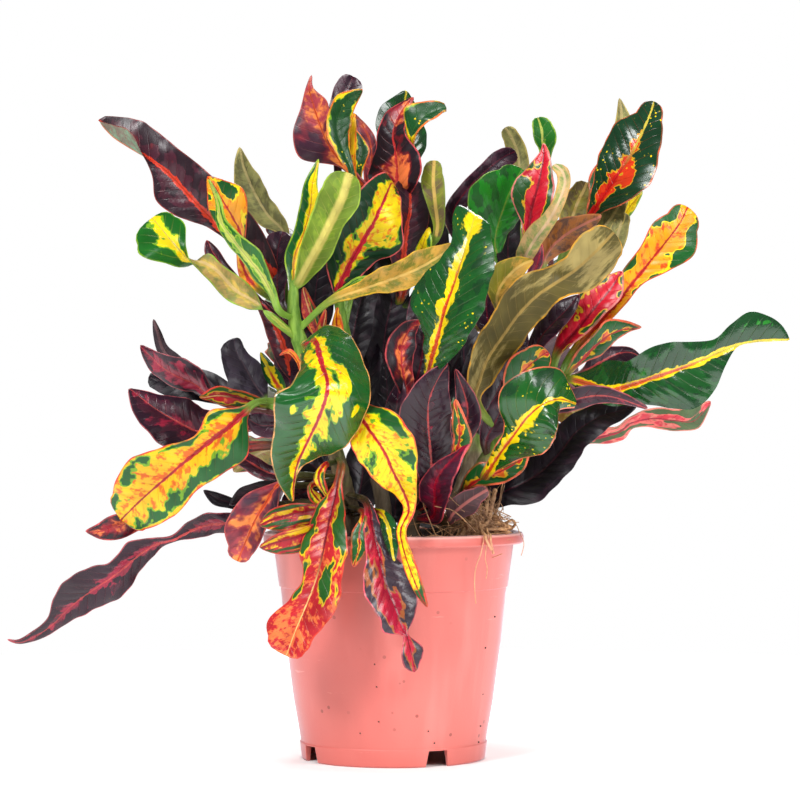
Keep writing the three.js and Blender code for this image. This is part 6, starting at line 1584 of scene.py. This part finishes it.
# Right back leafy stem
# A woody croton shoot that forks, rooted in the soil. Many leaves show dull olive undersides.
# The fork on the right carries a broad green leaf with a flame-like red midrib.
RIGHT_BACK_STEM = [
    [[30, 12, 76.3, 4.2], [30, 12, 116, 4.2], [40, 12, 150, 4], [52, 11, 190, 3.6],
     [60, 9, 225, 3], [66, 6, 252, 2]],
    [[55, 10.5, 203, 2.8], [70, 9, 228, 2.5], [84, 7, 244, 2.2], [94, 5, 258, 1.7]],
]
RIGHT_BACK_LEAVES = [
    ["e01", 232, 1, "r", "purple", [44, 246, 8, 2, 2], [32, 262, 6, 3.5, 4], [30, 273, 6, 4.5, 5],
     [37, 284, 6, 4, 6], [46, 293, 7, 4, 7], [54, 299.5, 8, 4.5, 6], [61, 303, 8, 1, 1]],
    ["e02", 244, -1, "r", "olive_pale", [62, 266, 14, 2, 2], [64, 284, 17, 3, 3],
     [63, 295, 18, 4, 4.5], [62, 303, 18, 5, 4.5], [59, 310, 18, 4, 4], [56, 315, 18, 0.8, 0.8]],
    ["e03", 238, 1, "r", "bright_green", [53, 248, 3, 2, 2], [50.5, 257, -1, 3, 5],
     [52, 266, -4, 13, 8], [55, 275, -5, 19, 9], [58, 283, -5, 16, 7], [61, 289, -4, 9, 5],
     [64, 294, -2, 1, 1]],
    ["e04", 246, 1, "p", "crimson_pink", [66, 258, -6, 2, 2], [68, 266, -10, 4, 4],
     [69.5, 275, -12, 10, 9], [72, 284, -13, 12, 8], [74, 293, -13, 8, 5.5],
     [75.5, 302, -12, 2.5, 2.5], [75, 307, -11, 0.6, 0.6]],
    ["e05", 248, 1, "r", "young", [73, 280, 6, 1.7, 1.7], [75, 301, 3, 2, 4], [74.5, 308, 2, 4, 7],
     [74, 314, 2, 4.5, 6], [72, 320, 2, 1, 1]],
    ["e06", 236, -1, "r", "tan_twist", [63, 243, -8, 2, 2], [66, 251, -16, 5, 4],
     [71, 259.5, -20, 6, 4.5], [77.5, 268.5, -22, 4, 3.5], [82.5, 278, -23, 3, 3.5],
     [85.5, 287, -23, 3.5, 3], [84, 293, -22, 3, 3.5], [80, 296, -21, 1, 1]],
    ["e07", 256, 1, "r", "red_flame_green", [100, 272, -6, 3, 3], [107, 283, -10, 9, 11],
     [113, 292, -12, 12, 15], [119, 301, -13, 15, 13], [124, 311, -13, 14, 10.5],
     [128, 320, -11, 7, 6], [130.5, 327.5, -9, 0.8, 0.8]],
    ["e08", 252, 1, "p", "green_orange", [97, 269, 3, 1.7, 1.7], [100, 280, 3, 3, 5],
     [102, 290, 3, 4, 4], [104.5, 299, 3, 0.6, 0.6]],
    ["e09", 254, -1, "p", "olive_pale", [103, 280, 8, 2, 2], [110, 304, 10, 4, 4],
     [114, 316, 10, 3.5, 6], [113, 329.5, 10, 0.5, 0.5]],
    ["e10", 242, -1, "r", "olive", [87, 258, 9, 3, 3], [89, 268, 10, 6, 7], [92, 277, 11, 7, 7],
     [95, 283, 11, 6, 5], [97, 287.5, 11, 1, 1]],
    ["e11", 234, -1, "p", "olive_purple", [75, 247, -2, 2, 2], [79, 255, -7, 6, 6],
     [87, 262, -10, 8, 7], [95, 266.5, -11, 5, 6], [104, 271, -11, 0.8, 0.8]],
    ["e12", 247, -1, "p", "olive_pale", [99, 260, -2, 2, 2], [105, 265, -5, 4, 5],
     [110, 271, -6, 6, 6], [113, 276, -7, 4, 4], [117, 279, -7, 0.8, 0.8]],
    ["e13", 250, 1, "p", "half_gold", [107, 260, 4, 1.7, 1.7], [114, 269, 4, 3, 2.5],
     [118.5, 276, 4, 3, 3], [124.5, 283, 4, 0.6, 0.6]],
    ["e14", 230, 1, "p", "crimson", [68, 238, -3, 2, 2], [72, 248, -8, 3, 3],
     [74, 257, -8, 0.6, 0.6]],
    ["e15", 214, -1, "p", "olive_tan", [52, 226, -12, 2, 2], [53, 234, -18, 6, 8],
     [58, 241, -20, 9, 6], [64, 246, -20, 5, 4], [70, 248, -19, 0.8, 0.8]],
    ["e16", 164, 1, "p", "purple", [44, 162, -2, 3, 3], [47, 172, -6, 6, 5], [52, 184, -7, 6, 6],
     [57, 196, -7, 8, 8], [62, 208, -6, 6, 6], [65, 220, -5, 1, 1]],
    ["e17", 122, 1, "p", "black", [29, 131, 15, 6, 6], [27, 146, 16, 8, 8], [26, 160, 17, 6, 6],
     [27, 172, 17, 1, 1]],
    ["e18", 170, 1, "p", "black", [41, 180, -2, 4, 4], [36, 194, -4, 8, 9], [35, 208, -4, 8, 9],
     [34, 222, -3, 1, 1]],
    ["e20", 200, 1, "p", "purple", [50, 210, 2, 4, 4], [47, 221, 1, 6, 6], [47, 233, 1, 5, 5],
     [49, 246, 2, 1, 1]],
    ["e30", 236, -1, "r", "olive_pale", [103, 240, -4, 2, 2], [107, 249, -6, 4, 4],
     [111, 258, -7, 5, 5], [114, 267, -7, 4, 4], [116, 272, -7, 1, 1]],
    ["e19", 234, 1, "p", "black", [58, 244, 4, 4, 4], [57, 256, 3, 6, 6], [59, 268, 3, 5, 5],
     [62, 278, 3, 1, 1]],
]
RIGHT_BACK_PAINTED = {
    "e07": [("light", 0.3, 0, 0.25, 0.3, 0.12), ("dark", 0.95, 0, 0.2, 2, 0.8),
        ("light", 0.55, 0.45, 0.07, 0.25, 0.7), ("light", 0.42, -0.4, 0.06, 0.2, 0.5),
        ("light", 0.16, 0.8, 0.06, 0.3, 0.9), ("light", 0.3, -0.95, 0.1, 0.15, 0.9)],
    "e05": [("dark", 0.5, 0, 1, 3, 0.4)],
    "e15": [("dark", 0.6, -0.8, 0.5, 0.6, 0.4), ("light", 0.5, 0.7, 0.5, 0.5, 0.3)],
    "e04": [("light", 0.5, 0.2, 0.5, 0.5, 0.3), ("dark", 0.55, -0.7, 0.06, 0.3, 0.8),
        ("dark", 0.72, -0.5, 0.05, 0.25, 0.8), ("dark", 0.66, 0.9, 0.1, 0.25, 0.6),
        ("dark", 0.86, -0.1, 0.04, 0.3, 0.6)],
}
RIGHT_BACK_FAR_LEAVES = [
    ["e21", 136, 76, 10, 46, 90, 12, 0, 60], ["e22", 152, 56, 34, 60, 84, 13, 10, -60],
    ["e23", 170, 96, 20, 46, 92, 12, -10, 70], ["e24", 190, 50, 38, 58, 90, 14, 0, -70],
    ["e25", 208, 62, 42, 55, 76, 12, 10, 60], ["e26", 226, 58, 56, 54, 78, 12, 0, -60],
    ["e27", 240, 106, 56, 45, 76, 10, 0, 60], ["e28", 156, 36, 28, 40, 74, 12, 0, 60],
    ["e29", 178, 30, 14, 36, 76, 12, 0, -50],
]
RIGHT_BACK_FAR_LOOKS = [
    "purple_pink", "green_gold_rib", "orange_green", "purple", "red_flame_green", "deep_green",
]
grow(
    "right_back", RIGHT_BACK_STEM, RIGHT_BACK_LEAVES, RIGHT_BACK_PAINTED,
    RIGHT_BACK_FAR_LEAVES, RIGHT_BACK_FAR_LOOKS,
)

# Right front leafy stem
# A low croton shoot, rooted near the lip, that leans right and carries the longest green leaf.
# A long dull olive leaf folds over in front of it, with its underside out.
RIGHT_FRONT_STEM = [
    [[28, -14, 76.3, 4.2], [28, -14, 116, 4.2], [37, -14, 135, 4], [53, -15, 160, 3.6],
     [70, -15, 180, 3], [84, -15, 191, 2.2]],
]
RIGHT_FRONT_LEAVES = [
    ["f01", 162, -1, "r", "olive_long", [46, 170, -24, 2, 2], [41, 179, -28, 3, 3],
     [43, 188, -30, 6.5, 6], [47, 199, -32, 9, 9], [55, 211, -35, 10.5, 10],
     [63, 222, -37, 12, 10.5], [72, 231, -38, 13, 9.5], [81, 237, -38, 9.5, 8.5, 3, -3],
     [90, 243, -39, 8, 12], [98, 250, -40, 11, 13.5], [105, 257, -40, 9.5, 11],
     [110, 262.5, -39, 3, 3]],
    ["f02", 189, 1, "r", "orange_green", [87, 198, -14, 2, 2], [94, 207, -15, 3, 3],
     [103, 217.5, -17, 4, 3.5], [113, 229, -18, 7, 4], [121.5, 239.5, -19, 8, 4.5],
     [130, 250, -20, 8.5, 10.5], [138, 260, -20, 11, 15], [143.5, 267.5, -19, 8, 9.5],
     [147, 275, -18, 1, 1]],
    ["f03", 186, 1, "p", "crimson_pink", [81, 200, -19, 2, 2], [86, 207, -21, 5, 3],
     [94, 216, -23, 8, 4.5], [102, 226, -24, 11, 6], [109, 234.5, -24, 8, 6],
     [114.5, 243, -24, 0.8, 0.8]],
    ["f04", 190, 1, "p", "green_orange", [87, 192, -18, 1.7, 1.7], [93, 198, -20, 4, 2],
     [101, 206, -21, 5, 5.5], [109, 212, -22, 7, 5], [117, 214.5, -22, 3.5, 2],
     [124, 215, -22, 0.5, 0.5]],
    ["f05", 188, 1, "p", "purple_pink", [94, 192, -8, 1.7, 1.7], [104, 197.5, -6, 7, 5],
     [112, 201.5, -6, 4.5, 6], [119, 202, -6, 2.5, 5], [125, 198, -6, 0.6, 0.6]],
    ["f06", 190, 1, "p", "deep_green", [89, 189, -20, 2.2, 2.2], [99, 186, -25, 10, 6, 2, 0],
     [109, 183.5, -29, 15, 8, 3, 0], [120, 186.5, -33, 12, 10], [132, 190.5, -36, 14.5, 17],
     [144, 194.5, -38, 14, 21], [154, 198.5, -39, 10, 16.5], [163, 202.5, -40, 7, 7.5],
     [171, 205.5, -40, 11, 1], [180, 207.7, -40, 15, 0.5], [189, 208.5, -40, 11.5, 0.5],
     [195, 208.7, -40, 6.5, 0.5], [198, 209, -40, 0.8, 0.8]],
    ["f07", 172, 1, "p", "purple_pink", [74, 172, -32, 2, 2], [83, 176, -36, 5, 4],
     [93, 179.5, -38, 6, 5.5], [104, 181, -39, 4.5, 4], [115, 179, -40, 3, 2.5],
     [127, 174.5, -40, 0.8, 0.8]],
    ["f08", 128, 1, "p", "black", [44, 126, -10, 2, 2], [54, 132, -11, 5, 7],
     [65, 137, -12, 10, 10.5], [75, 143.5, -14, 12, 10], [84, 153, -16, 12, 8.5],
     [92, 163, -17, 8, 8.5], [103, 170, -18, 7, 6.5], [113, 173, -18, 4.5, 4.5],
     [121.5, 175.5, -18, 0.6, 0.6]],
    ["f09", 146, 1, "p", "pink_striped", [60, 146, -8, 2, 2], [80, 153, -4, 3, 3],
     [95, 158, -5, 2.2, 2], [104, 160.5, -6, 3.5, 4], [113, 163, -7, 3, 4.5],
     [119, 167.5, -8, 3, 3.5], [130, 169.5, -9, 5, 4.5], [141, 168.5, -11, 6, 5.5],
     [150.5, 168.5, -12, 7, 4.5], [158.5, 178, -13, 0.8, 0.8]],
    ["f10", 140, 1, "p", "green_speckled", [43, 135, -30, 2, 2], [47, 142, -38, 3, 2.5],
     [53.5, 152, -44, 4, 8], [61, 162, -48, 7, 17], [67, 170, -50, 19, 17],
     [75, 176.5, -50, 19, 14], [83, 179, -47, 15, 6, 2, 2], [91, 176.5, -42, 2, 2]],
    ["f11", 132, 1, "p", "green_orange", [34, 130, -24, 2, 2], [39, 136.5, -33, 5, 2],
     [46, 140, -36, 8, 4.5], [54, 143, -37, 5, 6], [62, 147.5, -37, 3, 5],
     [68, 153, -36, 0.8, 0.8]],
    ["f12", 168, 1, "r", "green_orange", [58, 175, -24, 3, 3], [60, 184, -28, 6, 6],
     [64, 192, -30, 8.5, 9], [70, 198, -30, 8, 8], [77, 203, -29, 3, 3]],
    ["f14", 119, 1, "p", "black", [27, 118, -8, 3, 3], [21, 119.5, -6, 5, 4], [14, 121, -4, 5, 4],
     [8, 123, -3, 1, 1]],
    ["f15", 150, 1, "p", "purple", [46, 158, -20, 3, 3], [50, 166, -21, 6, 6], [54, 175, -22, 6, 6],
     [57, 186, -22, 1, 1]],
    ["f16", 126, 1, "p", "black", [40, 130, -12, 3, 3], [45, 136, -11, 5, 5], [50, 143, -11, 6, 6],
     [56, 150, -12, 1, 1]],
    ["f13", 180, 1, "p", "purple", [70, 200, -21, 3, 3], [74, 210, -24, 5, 4], [80, 217, -25, 8, 5],
     [87, 224, -26, 6, 4], [93, 231, -26, 0.8, 0.8]],
]
RIGHT_FRONT_PAINTED = {
    "f01": [("light", 0.9, 0, 0.08, 2, 0.35), ("dark", 0.6, 0, 0.16, 2, 0.4),
        ("dark", 0.6, 0.7, 0.2, 0.4, 0.35), ("dark", 0.25, 0.3, 0.2, 0.8, 0.2),
        ("dark", 0.76, 0.2, 0.03, 0.6, 0.6), ("dark", 0.97, 0.4, 0.05, 0.5, 0.3)],
    "f02": [("dark", 0.93, -0.7, 0.06, 0.4, 0.7), ("dark", 0.8, 0.85, 0.1, 0.35, 0.6),
        ("dark", 0.33, -0.9, 0.1, 0.4, 0.7), ("dark", 0.62, -0.9, 0.05, 0.3, 0.5),
        ("dark", 0.9, 0.7, 0.04, 0.25, 0.8), ("light", 0.55, 0, 0.2, 0.6, 0.3)],
    "f09": [("dark", 0.93, 0.3, 0.05, 0.6, 0.4), ("dark", 0.75, -0.6, 0.04, 0.5, 0.3)],
    "f10": [("warm", 0.72, 0.15, 0.09, 0.3, 0.45), ("light", 0.72, 0.15, 0.09, 0.3, 0.5)],
    "f06": [("warm", 0.9, -0.5, 0.14, 1.2, 0.4), ("warm", 0.2, 0.3, 0.12, 0.8, 0.2)],
}
grow("right_front", RIGHT_FRONT_STEM, RIGHT_FRONT_LEAVES, RIGHT_FRONT_PAINTED)

# Middle front leafy stem
# The shortest croton shoot, rooted close behind the lip, in front of all the others.
# One broad glossy green leaf stands on it above a knot of purple ones.
MIDDLE_FRONT_STEM = [
    [[9, -26, 76.3, 4], [9, -26, 116, 4], [13, -26, 140, 3.8], [16, -27, 165, 3.4],
     [18, -29, 190, 2.2]],
]
MIDDLE_FRONT_LEAVES = [
    ["g01", 188, 1, "r", "green_gold_rib", [17.5, 191, -36, 2.5, 2.5], [20, 201, -42, 4.5, 9],
     [23, 212, -47, 9.5, 14], [26, 224, -49, 17.5, 17], [30, 235, -50, 17.5, 17],
     [33.5, 246, -50, 10, 16.5], [37, 257, -49, 8.5, 13], [39.5, 266, -48, 10, 9.5, 2, 2],
     [41, 271, -45, 9.5, 7], [42, 269.5, -40, 1, 1]],
    ["g02", 124, 1, "p", "purple_pink", [18, 128, -33, 5, 4], [19, 141, -36, 7, 8],
     [18, 156, -38, 11, 11], [17, 170, -40, 14, 12], [18, 180, -41, 11, 11], [22.5, 190, -41, 6, 6],
     [27, 197, -40, 0.8, 0.8]],
    ["g03", 142, 1, "p", "purple_pink", [28, 148, -33, 2, 2], [33, 160, -34, 4, 6],
     [37, 170, -35, 5, 7], [36, 180, -36, 5, 5], [31, 194, -37, 0.8, 0.8]],
    ["g04", 128, 1, "p", "green_orange", [26, 138, -40, 2, 2], [30, 148, -44, 2, 3],
     [33, 158, -46, 3, 6], [33, 167, -46, 4, 4], [31, 179, -45, 0.8, 0.8]],
    ["g05", 170, 1, "p", "red_black", [9, 176, -31, 2, 2], [6, 185, -33, 4, 4], [4, 196, -34, 7, 6],
     [4, 206, -34, 7, 7], [8, 214, -33, 5, 4], [13.5, 218.5, -31, 0.8, 0.8]],
    ["g06", 120, 1, "p", "crimson", [20, 120, -38, 4, 4], [21, 128, -43, 7, 6],
     [21, 136, -47, 8, 8], [25, 144, -48, 5, 7], [33, 152, -48, 2, 2.5], [39, 159, -47, 0.8, 0.8]],
    ["g07", 122, -1, "r", "purple_pink", [26, 118, -38, 2, 2], [30, 122, -42, 6, 4],
     [36, 127, -45, 6, 7], [42, 131, -46, 4, 4], [47, 134, -46, 1, 1]],
    ["g08", 160, 1, "p", "black", [28, 172, -26, 2, 2], [35, 184, -23, 3.5, 4],
     [38, 195, -22, 3, 3.5], [39, 207, -21, 0.6, 0.6]],
    ["g10", 150, 1, "p", "black", [22, 166, -22, 3, 3], [26, 178, -22, 5, 5], [29, 190, -22, 5, 5],
     [33, 204, -22, 1, 1]],
    ["g09", 134, 1, "p", "purple", [10, 142, -31, 2, 2], [3, 152, -33, 5, 5], [1, 164, -34, 7, 6],
     [2, 178, -34, 5, 5], [4, 190, -33, 1, 1]],
]
MIDDLE_FRONT_PAINTED = {
    "g02": [("dark", 0.5, 0, 1, 3, 0.3), ("warm", 0.4, 0.4, 0.3, 0.5, 0.12)],
    "g07": [("dark", 0.5, 0, 1, 3, 0.5)],
    "g01": [("warm", 0.87, 0.1, 0.06, 0.5, 0.8), ("light", 0.87, 0.1, 0.07, 0.6, 0.8),
        ("warm", 0.42, 0.1, 0.05, 0.2, 0.4), ("light", 0.42, 0.1, 0.05, 0.2, 0.5)],
}
grow("middle_front", MIDDLE_FRONT_STEM, MIDDLE_FRONT_LEAVES, MIDDLE_FRONT_PAINTED)
